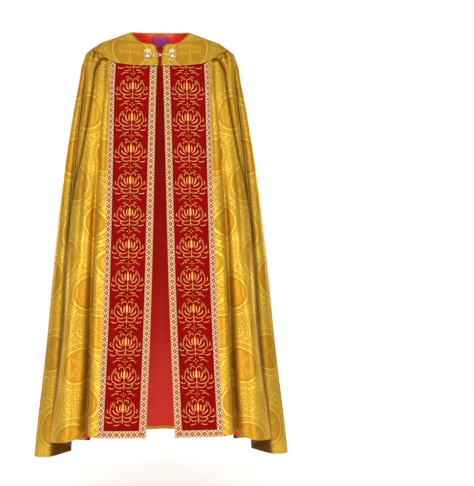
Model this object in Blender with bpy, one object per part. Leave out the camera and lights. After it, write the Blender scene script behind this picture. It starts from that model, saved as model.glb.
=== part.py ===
"""A liturgical cope in the form that it has when worn, clasped over the breast.

Metres, +Z up. The front faces -Y and +X is the wearer's left. The origin lies midway
between the shoulders that carry the cope, at the height of their tips.
"""

import math
from collections import namedtuple

import bpy
import numpy as np

# ---------------------------------------------------------------- driving dimensions
SEAM_GAP = 0.0003
BROCADE = 0.0016  # the gold cloth with its interlining
LINING_CLOTH = 0.0010
TRIM_CLOTH = 0.0010  # orphrey, braid and applique
LABEL_CLOTH = 0.0006
LABEL_HALF_WIDTH = 0.026
YOKE_LIFT = BROCADE + 0.0008  # the yoke lies over the gathered cloth
HOOD_LIFT = BROCADE + 0.0018

BAND_WIDTH = 0.154
BRAID_WIDTH = 0.022
BAND_SETBACK_TOP = 0.025  # how far the band's outer edge lies behind its inner edge
BAND_SETBACK_HEM = 0.004
HEM_TURNING = 0.020  # the gold cloth shows inside below the lining

NECK_SIDE_HEIGHT = 0.031
NECK_FRONT_SLOPE = 0.61  # the neck edge falls this much for each metre forwards
NECK_BACK_SLOPE = 0.10
PIPING_RADIUS = 0.0022

CROSS_HEIGHT = -0.2065  # the medallion's centre
CROSS_REACH = 0.2180
ARM_END_HALF_WIDTH = 0.0745
ARM_ROOT_HALF_WIDTH = 0.0560
ARM_ROWS = 10
ARM_ROOT = 0.0640  # where an arm starts, from the medallion's centre
MEDALLION_RADIUS = 0.0740
MEDALLION_RIM = 0.0835

CLASP_CENTRE = (0.0405, -0.0540)  # across and height
CLASP_HALF_WIDTH = 0.0155
CLASP_HALF_HEIGHT = 0.0205

TASSEL_TOP = -0.5470
TASSEL_FOOT = -0.6480
TASSEL_SIDES = 12
TASSEL_STAND = 0.0085  # how far its top stands off the hood's surface
TASSEL_TILT = 0.055

HANG = 1.33  # fall of the cloth from the yoke to the hem

# The oval that the cope fills at each height: half width, and depth before and behind.
Section = namedtuple("Section", "height half_width front_depth back_depth")
FORM = (
    Section(0.0400, 0.0720, 0.0040, 0.0700),
    Section(0.0310, 0.0970, 0.0120, 0.0820),
    Section(0.0200, 0.1270, 0.0280, 0.0920),
    Section(0.0080, 0.1590, 0.0450, 0.1000),
    Section(-0.0070, 0.2000, 0.0670, 0.1080),
    Section(-0.0210, 0.2210, 0.0860, 0.1140),
    Section(-0.0300, 0.2390, 0.0920, 0.1180),
    Section(-0.0410, 0.2490, 0.0970, 0.1210),
    Section(-0.0690, 0.2590, 0.1100, 0.1280),
    Section(-0.0910, 0.2660, 0.1180, 0.1320),
    Section(-0.1310, 0.2730, 0.1300, 0.1380),
    Section(-0.2340, 0.2940, 0.1520, 0.1530),
    Section(-0.3900, 0.3210, 0.1800, 0.1730),
    Section(-0.5450, 0.3420, 0.2060, 0.1910),
    Section(-0.7520, 0.3660, 0.2380, 0.2140),
    Section(-1.0620, 0.3970, 0.2840, 0.2500),
    Section(-1.2860, 0.4245, 0.3300, 0.2770),
    Section(-1.4300, 0.4400, 0.3500, 0.2950),
)

# Lower edge of the yoke: its height at each angle round the oval from the shoulder tip.
YokeEdge = namedtuple("YokeEdge", "angle height")
YOKE_EDGE = (
    YokeEdge(0.0, -0.0210),
    YokeEdge(38.0, -0.0444),
    YokeEdge(47.0, -0.0642),
    YokeEdge(52.0, -0.0718),
    YokeEdge(58.0, -0.0806),
    YokeEdge(66.0, -0.0860),
    YokeEdge(74.0, -0.0898),
    YokeEdge(90.0, -0.0910),
)

# Half the gap between the two front edges, on the yoke and on the bands below it.
Gap = namedtuple("Gap", "height half_gap")
YOKE_GAP = (
    Gap(-0.0910, 0.0045),
    Gap(-0.0540, 0.0066),
    Gap(-0.0200, 0.0165),
)
BAND_GAP = (
    Gap(-1.2900, 0.0465),
    Gap(-0.8400, 0.0285),
    Gap(-0.6700, 0.0240),
    Gap(-0.0910, 0.0100),
    Gap(-0.0600, 0.0080),
)

# The folds of one side, from the front edge to the centre of the back. Angles go round
# the oval from the shoulder, the front negative; reach is the share of the oval's radius
# at the hem; gather is the extra reach just below the yoke; parts is how many stretches
# the cloth is divided into before the next row.
Fold = namedtuple("Fold", "name top_angle arm_angle hem_angle reach gather hem parts")
FOLDS = (
    Fold("front edge", -87.5, -87.5, -87.5, 1.000, 0.000, -1.286, 2),
    Fold("band middle", -71.0, -71.0, -71.0, 1.000, 0.000, -1.286, 2),
    Fold("band outer edge", -52.0, -52.0, -52.0, 1.000, 0.000, -1.285, 1),
    Fold("first roll", -50.0, -53.0, -61.6, 1.099, 0.010, -1.283, 2),
    Fold("first valley front", -46.8, -48.3, -51.3, 0.885, -0.020, -1.289, 1),
    Fold("first valley back", -45.2, -46.7, -49.3, 0.885, -0.020, -1.291, 2),
    Fold("great fold rise", -41.0, -45.0, -51.7, 0.990, 0.022, -1.300, 2),
    Fold("great fold crest", -33.0, -42.0, -48.9, 1.076, -0.018, -1.311, 2),
    Fold("great fold turn", -25.0, -38.0, -41.0, 1.0625, 0.024, -1.320, 2),
    Fold("great fold edge", -14.0, -31.0, -28.5, 0.967, 0.020, -1.335, 3),
    Fold("great fold under", -9.0, -22.0, -17.8, 0.835, -0.010, -1.365, 2),
    Fold("side tuck front", -5.8, -13.8, -5.6, 0.722, -0.022, -1.398, 1),
    Fold("side tuck back", -4.2, -12.2, -3.2, 0.727, -0.022, -1.402, 2),
    Fold("side fold front", -1.0, -11.0, -9.7, 0.893, 0.000, -1.412, 2),
    Fold("side fold", 4.0, 0.0, 0.0, 1.000, 0.010, -1.420, 2),
    Fold("side fold back", 14.0, 17.0, 21.5, 0.984, 0.000, -1.402, 2),
    Fold("side fold under", 22.0, 25.0, 29.1, 0.904, -0.012, -1.396, 2),
    Fold("rear tuck front", 26.2, 28.2, 27.8, 0.676, -0.020, -1.391, 1),
    Fold("rear tuck back", 27.8, 29.8, 30.2, 0.680, -0.020, -1.389, 2),
    Fold("rear fold edge", 33.0, 33.0, 36.3, 0.975, 0.010, -1.388, 2),
    Fold("rear fold crest", 42.0, 44.0, 48.5, 1.019, 0.000, -1.389, 2),
    Fold("back tuck front", 48.2, 52.2, 55.9, 0.696, -0.015, -1.390, 1),
    Fold("back tuck back", 49.8, 53.8, 58.3, 0.696, -0.015, -1.391, 2),
    Fold("back panel edge", 54.0, 56.0, 56.3, 1.012, 0.008, -1.398, 2),
    Fold("back panel ridge", 70.0, 71.0, 71.5, 1.075, 0.000, -1.404, 2),
    Fold("centre back", 90.0, 90.0, 90.0, 0.935, 0.000, -1.394, 0),
)
BAND_ROWS = 2  # the band's outer edge is this row of FOLDS
SEAM_PLACE = 12.5  # the side seam is hidden behind the side fold
LAST_ROW = len(FOLDS) - 1
TOP_REACH = 0.998
NECK_SHARES = (0.0, 0.26, 0.55, 0.85, 1.0)  # rows from the neck to the yoke's edge
FALL_SHARES = (0.022, 0.06, 0.14, 0.28, 0.48, 0.74)  # and from there to the hem
EDGE_ROW = len(NECK_SHARES) - 1

# Lower edge of the hood: half width and height at each share of the way to its corner.
HoodEdge = namedtuple("HoodEdge", "share across height")
HOOD_EDGE = (
    HoodEdge(0.00, 0.0000, -0.5400),
    HoodEdge(0.38, 0.0749, -0.4621),
    HoodEdge(0.74, 0.1540, -0.3788),
    HoodEdge(0.92, 0.2034, -0.3100),
    HoodEdge(1.00, 0.2235, -0.2614),
)
HOOD_COLUMNS = 14  # on each side of its middle
HOOD_NECK_SHARE = 0.5  # of the columns that end at the neck; the others at a shoulder
HOOD_ROWS = 15

Finish = namedtuple("Finish", "colour roughness metallic")
FINISHES = {
    "gold_brocade": Finish((0.66, 0.42, 0.05), 0.45, 0.0),
    "red_lining": Finish((0.60, 0.02, 0.02), 0.35, 0.0),
    "red_velvet": Finish((0.42, 0.01, 0.02), 0.60, 0.0),
    "cream_braid": Finish((0.86, 0.66, 0.42), 0.60, 0.0),
    "gold_thread": Finish((0.80, 0.50, 0.20), 0.40, 0.0),
    "gilt_metal": Finish((0.83, 0.66, 0.32), 0.25, 1.0),
    "purple_label": Finish((0.30, 0.03, 0.35), 0.45, 0.0),
}


# ---------------------------------------------------------------- tables and curves
def through(xs, ys, x):
    """Monotone cubic through a table's points, so nothing overshoots between rows."""
    xs, ys = np.asarray(xs, float), np.asarray(ys, float)
    x = np.clip(np.asarray(x, float), xs[0], xs[-1])
    step = np.diff(xs)
    slope = np.diff(ys) / step
    product = slope[:-1] * slope[1:]
    total = np.where(product > 0, slope[:-1] + slope[1:], 1.0)
    inner = np.where(product > 0, 2 * product / total, 0.0)
    tangent = np.concatenate([slope[:1], inner, slope[-1:]])
    i = np.clip(np.searchsorted(xs, x, side="right") - 1, 0, len(step) - 1)
    t = (x - xs[i]) / step[i]
    return (
        ys[i] * (1 + 2 * t) * (1 - t) ** 2
        + ys[i + 1] * (3 - 2 * t) * t**2
        + tangent[i] * step[i] * t * (1 - t) ** 2
        - tangent[i + 1] * step[i] * t**2 * (1 - t)
    )


def column(table, name):
    return [getattr(row, name) for row in table]


def form(height):
    """Half width, front depth and back depth of the oval at a height."""
    rows = FORM[::-1]
    heights = column(rows, "height")
    names = ("half_width", "front_depth", "back_depth")
    return tuple(through(heights, column(rows, name), height) for name in names)


def on_form(angle, height, reach=1.0):
    """Plan position on the oval at an angle in degrees, the front negative."""
    half_width, front, back = form(height)
    turn = np.radians(angle)
    depth = np.where(turn < 0, front, back)
    return half_width * reach * np.cos(turn), depth * reach * np.sin(turn)


def yoke_edge(angle):
    size = np.abs(np.asarray(angle, float))
    return through(column(YOKE_EDGE, "angle"), column(YOKE_EDGE, "height"), size)


def gap_at(table, height):
    return through(column(table, "height"), column(table, "half_gap"), height)


def neck_edge(angle):
    """Height of the neck's edge, a plane cut that falls to the front."""
    angle = np.asarray(angle, float)
    low, high = np.full(angle.shape, -0.06), np.full(angle.shape, 0.04)
    for _ in range(40):
        middle = (low + high) / 2
        y = on_form(angle, middle)[1]
        slope = np.where(y < 0, NECK_FRONT_SLOPE, NECK_BACK_SLOPE)
        above = middle > NECK_SIDE_HEIGHT + slope * y
        high = np.where(above, middle, high)
        low = np.where(above, low, middle)
    return middle


def blend(a, b, share):
    return a + (b - a) * share


# ---------------------------------------------------------------- the folded cloth
def band_point(row, height, drop):
    """A point across the orphrey's width, which hangs nearly flat."""
    share = row / BAND_ROWS
    grown = (np.maximum(drop, 0) / HANG) ** 0.6
    setback = blend(BAND_SETBACK_TOP, BAND_SETBACK_HEM, grown)
    level = np.sqrt(BAND_WIDTH**2 - setback**2)
    x = gap_at(BAND_GAP, height) + level * share
    y = -form(height)[1] * TOP_REACH + setback * share**2
    return x, y


def fold_point(row, height):
    """Plan position of one row of FOLDS at a height; rows past the ends are mirrored."""
    if row < 0:
        x0, y0 = fold_point(0, height)
        x1, y1 = fold_point(1, height)
        return 2 * x0 - x1, 2 * y0 - y1
    if row > LAST_ROW:
        x, y = fold_point(2 * LAST_ROW - row, height)
        return -x, y
    fold = FOLDS[row]
    drop = yoke_edge(fold.top_angle) - height
    if row <= BAND_ROWS:
        hung = np.clip(1 + drop / 0.02, 0, 1)
        beneath = on_form(fold.top_angle, height, TOP_REACH)
        band = band_point(row, height, drop)
        return tuple(blend(a, b, hung) for a, b in zip(beneath, band))
    below = np.maximum(drop, 0)
    swung = 1 - np.exp(-below / 0.07)
    angle = blend(fold.top_angle, fold.arm_angle, swung)
    angle = angle + (fold.hem_angle - fold.arm_angle) * below / HANG
    grown = (below / HANG) ** 0.7
    gathered = (1 - np.exp(-below / 0.012)) * np.exp(-below / 0.16)
    reach = blend(TOP_REACH, fold.reach, grown) + fold.gather * gathered
    return on_form(angle, height, reach)


def between(a, b, start, end, t):
    return a + (b - a) * ((t - start) / (end - start))[:, None]


def section_point(place, height):
    """Plan position at a place along the folds: a centripetal curve through their rows."""
    x, y = np.empty(place.shape), np.empty(place.shape)
    rows = np.clip(np.floor(place).astype(int), 0, LAST_ROW - 1)
    for row in np.unique(rows):
        here = rows == row
        z = height[here]
        p = [np.stack(fold_point(row + k, z), axis=-1) for k in (-1, 0, 1, 2)]
        knots = [np.zeros(len(z))]
        for a, b in zip(p, p[1:]):
            gap = np.linalg.norm(b - a, axis=-1)
            knots.append(knots[-1] + np.sqrt(np.maximum(gap, 1e-6)))
        t0, t1, t2, t3 = knots
        t = blend(t1, t2, place[here] - row)
        a1 = between(p[0], p[1], t0, t1, t)
        a2 = between(p[1], p[2], t1, t2, t)
        a3 = between(p[2], p[3], t2, t3, t)
        b1 = between(a1, a2, t0, t2, t)
        b2 = between(a2, a3, t1, t3, t)
        found = between(b1, b2, t1, t2, t)
        x[here], y[here] = found[:, 0], found[:, 1]
    return x, y


def along_folds(values, place):
    """A value given for each row of FOLDS, read at a place along them."""
    return through(range(len(FOLDS)), values, place)


def cloth_places():
    """Where the cloth's columns stand along FOLDS, from the front edge to centre back."""
    braid = BRAID_WIDTH / BAND_WIDTH * BAND_ROWS
    places = [0.0, braid, 1.0, BAND_ROWS - braid]
    for row in range(BAND_ROWS, LAST_ROW):
        places += [row + k / FOLDS[row].parts for k in range(FOLDS[row].parts)]
    return np.array(places + [float(LAST_ROW)])


def cloth_grid(places):
    """Points of one side's cloth from the neck to the hem, as rows by columns by three."""
    tops = along_folds(column(FOLDS, "top_angle"), places)
    edge = yoke_edge(tops) - 2 * SEAM_GAP
    neck = neck_edge(tops)
    hem = along_folds(column(FOLDS, "hem"), places)
    heights = [blend(neck, edge, share) for share in NECK_SHARES]
    heights += [blend(edge, hem, share) for share in FALL_SHARES]
    heights += [hem + BRAID_WIDTH, hem]
    heights = np.array(heights)
    x, y = section_point(np.broadcast_to(places, heights.shape).copy(), heights)
    return np.stack([x, y, heights], axis=-1)


def whole_ring(grid):
    """The cloth all round, from its left front edge past the back to its right one."""
    other = grid[:, ::-1] * np.array([-1.0, 1.0, 1.0])
    return np.concatenate([grid, other[:, 1:]], axis=1)


def normals_of(grid):
    """Outward unit normals of a grid whose rows go down and columns anticlockwise."""
    normal = np.cross(np.gradient(grid, axis=0), np.gradient(grid, axis=1))
    return normal / np.linalg.norm(normal, axis=-1, keepdims=True)


# ---------------------------------------------------------------- objects
def material(name):
    found = bpy.data.materials.get(name)
    if found:
        return found
    made = bpy.data.materials.new(name)
    made.use_nodes = True
    shader = made.node_tree.nodes["Principled BSDF"]
    finish = FINISHES[name]
    shader.inputs["Base Color"].default_value = (*finish.colour, 1.0)
    shader.inputs["Roughness"].default_value = finish.roughness
    shader.inputs["Metallic"].default_value = finish.metallic
    return made


def solid(name, points, faces, finish, parts):
    """A node from points and faces that close on themselves."""
    mesh = bpy.data.meshes.new(name)
    mesh.from_pydata([tuple(p) for p in points], [], faces)
    mesh.shade_smooth()
    mesh.materials.append(material(finish))
    obj = bpy.data.objects.new(name, mesh)
    parts.objects.link(obj)
    return obj


def shrunk(points, gap):
    """A grid whose four edges are drawn in by gap."""
    moved = points.copy()
    for edge, inner in ((0, 1), (-1, -2)):
        for axis in (0, 1):
            view = np.swapaxes(moved, 0, axis)
            step = view[inner] - view[edge]
            size = np.linalg.norm(step, axis=-1, keepdims=True)
            view[edge] = view[edge] + step / size * gap
    return moved


def wall(name, grid, normals, lift, thickness, finish, parts, missing=None):
    """A wall of cloth: the grid's points moved out by lift, and again by thickness.

    Cells for which missing is true are left out.
    """
    rows, columns = grid.shape[:2]
    layers = np.stack([grid + normals * lift, grid + normals * (lift + thickness)])
    ids, points, faces, edges = {}, [], [], {}

    def vertex(layer, i, j):
        key = (layer, i, j)
        if key not in ids:
            ids[key] = len(points)
            points.append(layers[key])
        return ids[key]

    for i in range(rows - 1):
        for j in range(columns - 1):
            if missing is not None and missing[i, j]:
                continue
            a, b, c, d = (i, j), (i, j + 1), (i + 1, j + 1), (i + 1, j)
            for corners in ((a, d, c), (a, c, b)):
                faces.append([vertex(1, *k) for k in corners])
                faces.append([vertex(0, *k) for k in reversed(corners)])
            for start, end in ((a, d), (d, c), (c, b), (b, a)):
                if (end, start) in edges:
                    del edges[end, start]
                else:
                    edges[start, end] = True
    # Two pieces that meet at a seam split its faces along the same diagonal.
    for start, end in edges:
        low, high = (start, end) if start < end else (end, start)
        shared = [vertex(0, *low), vertex(1, *high)]
        outer, inner = vertex(1, *low), vertex(0, *high)
        for corner in (outer, inner):
            forward = (corner == outer) == (start < end)
            faces.append([corner, *(shared if forward else reversed(shared))])
    return solid(name, points, faces, finish, parts)


def tube(name, path, radius, sides, finish, parts, up=(0.0, 0.0, 1.0)):
    """A round cord along a path, closed at both ends."""
    path = np.asarray(path, float)
    along = np.gradient(path, axis=0)
    along /= np.linalg.norm(along, axis=-1, keepdims=True)
    across = np.cross(along, np.array(up))
    across /= np.linalg.norm(across, axis=-1, keepdims=True)
    over = np.cross(across, along)
    points = []
    for p, u, v in zip(path, across, over):
        for k in range(sides):
            turn = math.tau * k / sides
            points.append(p + radius * (u * math.cos(turn) + v * math.sin(turn)))
    faces = []
    for i in range(len(path) - 1):
        for k in range(sides):
            n = (k + 1) % sides
            a, b = i * sides + k, i * sides + n
            faces.append([a, a + sides, b + sides, b])
    faces.append(list(range(sides)))
    last = (len(path) - 1) * sides
    faces.append([last + k for k in reversed(range(sides))])
    return solid(name, points, faces, finish, parts)


# ---------------------------------------------------------------- the cope's pieces
def add_cloth(parts):
    """The gold cloth in three pieces, its lining, the orphreys and their braid."""
    places = cloth_places()
    ring = whole_ring(cloth_grid(places))
    normals = normals_of(ring)
    count = len(places)
    seam = int(np.searchsorted(places, SEAM_PLACE - 1e-6))
    back = slice(seam, 2 * count - 1 - seam)

    # The fronts end a little above the yoke's edge, beneath it.
    gold = "gold_brocade"
    tucked = slice(EDGE_ROW - 1, None)
    for side, columns in (("left", slice(0, seam + 1)), ("right", slice(-seam - 1, None))):
        points = shrunk(ring[tucked, columns], SEAM_GAP / 2)
        args = (normals[tucked, columns], 0.0, BROCADE, gold, parts)
        wall(f"cope_front_{side}", points, *args)
    cope_back = shrunk(ring[:, back], SEAM_GAP / 2)
    wall("cope_back", cope_back, normals[:, back], 0.0, BROCADE, gold, parts)

    # The lining stops short of the hem, where the gold cloth is turned up.
    inside = ring.copy()
    inside[-1] = ring[-1] + (ring[-2] - ring[-1]) * (HEM_TURNING / BRAID_WIDTH)
    inside = np.delete(inside, -2, axis=0)
    inner_normals = np.delete(normals, -2, axis=0)
    behind = -LINING_CLOTH - SEAM_GAP
    wall("lining", inside, inner_normals, behind, LINING_CLOTH, "red_lining", parts)

    # Each orphrey lies between braid on its two long sides and across its foot.
    over = BROCADE + SEAM_GAP
    for side, columns in (("left", slice(0, 5)), ("right", slice(-5, None))):
        band = shrunk(ring[EDGE_ROW:, columns], SEAM_GAP)
        band_normals = normals[EDGE_ROW:, columns]
        field = shrunk(ring[EDGE_ROW:-1, columns][:, 1:4], SEAM_GAP)
        field_normals = band_normals[:-1, 1:4]
        wall(f"orphrey_{side}", field, field_normals, over, TRIM_CLOTH, "red_velvet", parts)
        inside_braid = np.zeros((len(band) - 1, 4), bool)
        inside_braid[:-1, 1:3] = True
        args = (band, band_normals, over, TRIM_CLOTH, "cream_braid", parts, inside_braid)
        wall(f"orphrey_braid_{side}", *args)


def yoke_grid(columns, rows):
    """Half a yoke's points from the neck down, and from the opening to the shoulder."""
    share = np.linspace(0, 1, columns) ** 0.9
    foot_angle = -np.degrees(np.arccos(gap_at(YOKE_GAP, -0.091) / form(-0.091)[0]))
    flat = blend(foot_angle, 0.0, share)
    neck, foot = neck_edge(flat), yoke_edge(flat)
    down = np.linspace(0, 1, rows)[:, None]
    height = blend(neck, foot, down)
    half_width = form(height)[0]
    opening = -np.degrees(np.arccos(gap_at(YOKE_GAP, height) / half_width))
    angle = blend(opening, 0.0, share)
    x, y = on_form(angle, height)
    return np.stack([x, y, height], axis=-1)


def add_yoke(parts):
    """The two fronts of the yoke, which meet the hood along the shoulders."""
    grid = yoke_grid(18, 12)
    normals = normals_of(grid)
    flip = np.array([-1.0, 1.0, 1.0])
    gold = "gold_brocade"
    left = shrunk(grid, SEAM_GAP)
    wall("yoke_left", left, normals, YOKE_LIFT, BROCADE, gold, parts)
    right, right_normals = left[:, ::-1] * flip, normals[:, ::-1] * flip
    wall("yoke_right", right, right_normals, YOKE_LIFT, BROCADE, gold, parts)


def hood_surface(x, height):
    """Depth of the hood at a place across it and a height: it lies over the gathers."""
    half_width, _, back = form(height)
    drop = np.maximum(YOKE_EDGE[0].height - height, 0)
    stand = 1.0 + 0.010 * (1 - np.exp(-drop / 0.03)) + 0.075 * drop
    share = np.clip(np.abs(x) / (half_width * stand), 0, 1)
    return back * stand * np.sqrt(1 - share**2)


def hood_grid():
    """The hood's points: its top follows the neck and the shoulders, its foot a shield."""
    count = HOOD_COLUMNS
    share = np.linspace(0, 1, count + 1)
    neck = np.clip(share / HOOD_NECK_SHARE, 0, 1)
    angle = blend(90.0, 0.0, neck)
    neck_height = neck_edge(angle)
    shoulder = np.clip((share - HOOD_NECK_SHARE) / (1 - HOOD_NECK_SHARE), 0, 1)
    seam_height = blend(NECK_SIDE_HEIGHT, YOKE_EDGE[0].height, shoulder)
    on_shoulder = shoulder > 0
    top_height = np.where(on_shoulder, seam_height, neck_height)
    top_x = np.where(on_shoulder, form(seam_height)[0], on_form(angle, neck_height)[0])
    shares = column(HOOD_EDGE, "share")
    foot_x = through(shares, column(HOOD_EDGE, "across"), share)
    foot_height = through(shares, column(HOOD_EDGE, "height"), share)
    down = (np.linspace(0, 1, HOOD_ROWS + 1) ** 1.7)[:, None]
    x, height = blend(top_x, foot_x, down), blend(top_height, foot_height, down)
    half = np.stack([x, hood_surface(x, height), height], axis=-1)
    other = half[:, 1:] * np.array([-1.0, 1.0, 1.0])
    return np.concatenate([half[:, ::-1], other], axis=1)


def on_hood(across, height):
    """Points and normals on the hood at places across it and heights."""
    points = np.stack([across, hood_surface(across, height), height], axis=-1)
    step = 1e-3
    by_x = hood_surface(across + step, height) - hood_surface(across - step, height)
    by_z = hood_surface(across, height + step) - hood_surface(across, height - step)
    normal = np.stack([-by_x, np.full(across.shape, 2 * step), -by_z], axis=-1)
    return points, normal / np.linalg.norm(normal, axis=-1, keepdims=True)


def arm_shape(turn, along, across):
    """Turns a cross arm's own coordinates to places across the hood and heights."""
    x = across * math.cos(turn) + along * math.sin(turn)
    height = CROSS_HEIGHT + along * math.cos(turn) - across * math.sin(turn)
    return x, height


def add_hood(parts):
    """The hood with its applied cross: four arms edged with braid, and a medallion."""
    grid = hood_grid()
    args = (shrunk(grid, SEAM_GAP), normals_of(grid), HOOD_LIFT, BROCADE)
    wall("hood", *args, "gold_brocade", parts)
    over = HOOD_LIFT + BROCADE + 3 * SEAM_GAP
    for name, turn in (("top", 0), ("left", 90), ("foot", 180), ("right", 270)):
        turn = math.radians(turn)
        inner_end = CROSS_REACH - BRAID_WIDTH
        ends = [inner_end + BRAID_WIDTH / 2, CROSS_REACH]
        along = np.append(np.linspace(ARM_ROOT, inner_end, ARM_ROWS), ends)[::-1]
        share = (along - ARM_ROOT) / (CROSS_REACH - ARM_ROOT)
        half = blend(ARM_ROOT_HALF_WIDTH, ARM_END_HALF_WIDTH, share**1.3)
        # Columns run towards -X on the outside of the back, so across is reversed.
        inner = half - BRAID_WIDTH
        across = np.stack([half, inner, inner / 3, -inner / 3, -inner, -half], axis=1)
        x, height = arm_shape(turn, along[:, None] + 0 * across, across)
        points, normals = on_hood(x, height)
        braid_gap = np.ones((ARM_ROWS + 1, 5), bool)
        braid_gap[:2] = False
        braid_gap[:, [0, -1]] = False
        args = (normals, over, TRIM_CLOTH, "cream_braid", parts, braid_gap)
        wall(f"cross_braid_{name}", shrunk(points, SEAM_GAP), *args)
        field = shrunk(points[2:, 1:-1], SEAM_GAP)
        args = (normals[2:, 1:-1], over, TRIM_CLOTH, "red_velvet", parts)
        wall(f"cross_arm_{name}", field, *args)
    above = over + TRIM_CLOTH + SEAM_GAP
    top = above + TRIM_CLOTH
    centre = (0.0, CROSS_HEIGHT)
    rings = [(MEDALLION_RADIUS * share / 3, above, top) for share in range(4)]
    applied("medallion", on_hood, centre, rings, 32, "red_velvet", parts)
    rings = [(r, above, top) for r in (MEDALLION_RADIUS + SEAM_GAP, MEDALLION_RIM)]
    applied("medallion_rim", on_hood, centre, rings, 32, "gold_thread", parts)


def circle(turn, radius):
    return radius * np.cos(turn), radius * np.sin(turn)


def applied(name, surface, centre, rings, sides, finish, parts, outline=circle):
    """A piece laid on a surface, from rings of (size, inner lift, outer lift).

    Its middle is a point if the first size is 0, and open if it isn't.
    """
    turn = np.linspace(0, math.tau, sides, endpoint=False)
    points, starts = [], []
    for layer in (1, 2):
        for ring in rings:
            across, height = outline(turn if ring[0] else turn[:1], ring[0])
            base, normals = surface(centre[0] + across, centre[1] + height)
            starts.append(len(points))
            points += list(base + normals * ring[layer])
    count = len(rings)
    inner, outer = starts[:count], starts[count:]
    faces = []
    for k in range(sides):
        n = (k + 1) % sides
        for i in range(count - 1):
            for layer, turned in ((outer, True), (inner, False)):
                a, b = layer[i], layer[i + 1]
                if rings[i][0]:
                    face = [a + k, b + k, b + n, a + n]
                else:
                    face = [a, b + k, b + n]
                faces.append(face[::-1] if turned else face)
        a, b = inner[-1], outer[-1]
        faces.append([a + k, b + k, b + n, a + n])
        if rings[0][0]:
            a, b = inner[0], outer[0]
            faces.append([a + n, b + n, b + k, a + k])
    return solid(name, points, faces, finish, parts)


# ---------------------------------------------------------------- the fittings
def on_front(across, height):
    """Points and outward normals on the yoke's front, before its lift."""

    def depth(x, z):
        half_width, front, _ = form(z)
        return -front * np.sqrt(np.clip(1 - (x / half_width) ** 2, 0, 1))

    across, height = np.broadcast_arrays(np.asarray(across, float), height)
    points = np.stack([across, depth(across, height), height], axis=-1)
    step = 1e-3
    by_x = depth(across + step, height) - depth(across - step, height)
    by_z = depth(across, height + step) - depth(across, height - step)
    normal = np.stack([by_x, np.full(across.shape, -2 * step), by_z], axis=-1)
    return points, normal / np.linalg.norm(normal, axis=-1, keepdims=True)


def lifted_path(stations):
    """A path over the yoke's front from (across, height, lift) stations."""
    across, height, lift = np.array(stations).T
    points, normals = on_front(across, height)
    return points + normals * lift[:, None]


def add_neck(parts):
    """The cord round the neck's edge, and the label inside its back."""
    angle = np.concatenate([np.linspace(-84.5, 0, 13)[:-1], np.linspace(0, 90, 11)])
    height = neck_edge(angle)
    edge = np.stack([*on_form(angle, height), height], axis=-1)
    lower = np.stack([*on_form(angle, height - 0.004), height - 0.004], axis=-1)
    upward = edge - lower
    upward /= np.linalg.norm(upward, axis=-1, keepdims=True)
    outward = np.cross(np.gradient(edge, axis=0), upward)
    outward /= np.linalg.norm(outward, axis=-1, keepdims=True)
    path = edge + upward * (PIPING_RADIUS + 3 * SEAM_GAP) + outward * BROCADE
    path = np.concatenate([path, path[-2::-1] * np.array([-1.0, 1.0, 1.0])])
    tube("neck_piping", path, PIPING_RADIUS, 6, "gold_thread", parts)

    ring = whole_ring(cloth_grid(cloth_places()))
    middle = ring.shape[1] // 2
    patch = ring[:3, middle - 2 : middle + 3].copy()
    patch[0] = blend(patch[0], patch[1], 0.12)
    patch[2] = blend(patch[1], patch[2], 0.30)
    patch[:, :, 0] *= LABEL_HALF_WIDTH / patch[0, 0, 0]
    normals = normals_of(ring)[:3, middle - 2 : middle + 3]
    behind = -LINING_CLOTH - 3 * SEAM_GAP - LABEL_CLOTH
    wall("label", patch, normals, behind, LABEL_CLOTH, "purple_label", parts)


def rosette(turn, size):
    """A lobed oval; size is a share of the clasp's half width."""
    lobes = size * (1 + 0.07 * np.cos(8 * turn))
    return CLASP_HALF_WIDTH * lobes * np.cos(turn), CLASP_HALF_HEIGHT * lobes * np.sin(turn)


def add_clasp(parts):
    """Two lobed plates on the yoke, with a hook from one through an eye on the other."""
    base = YOKE_LIFT + BROCADE + SEAM_GAP
    domes = ((0, 0.0052), (0.22, 0.0048), (0.42, 0.0032), (0.72, 0.0034), (1, 0.0018))
    rings = [(size, base, base + rise) for size, rise in domes]
    for side, sign in (("left", 1), ("right", -1)):
        # Turning the other way keeps the faces outward on the yoke's front.
        def outline(turn, size, sign=sign):
            across, height = rosette(turn, size)
            return -across, height

        centre = (sign * CLASP_CENTRE[0], CLASP_CENTRE[1])
        args = (on_front, centre, rings, 24, "gilt_metal", parts, outline)
        applied(f"clasp_plate_{side}", *args)
    z = CLASP_CENTRE[1] - 0.003
    rise = base + 0.0026
    hook = [(0.0262, z, rise + 0.0006), (0.0200, z, rise + 0.0022), (0.0090, z, rise + 0.0027)]
    hook += [(0.0010, z, rise + 0.0027), (-0.0022, z, rise + 0.0012)]
    hook += [(-0.0012, z, rise - 0.0016), (0.0030, z, rise - 0.0026)]
    tube("clasp_hook", lifted_path(hook), 0.0012, 8, "gilt_metal", parts)
    turn = np.linspace(0, math.tau, 20, endpoint=False)
    squared = np.sign(np.cos(turn)) * np.abs(np.cos(turn)) ** 0.7
    eye = [(-0.0094 + 0.0134 * c, z + 0.0046 * math.sin(t), rise) for c, t in zip(squared, turn)]
    ring_tube("clasp_eye", lifted_path(eye), 0.0011, 6, "gilt_metal", parts)


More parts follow.
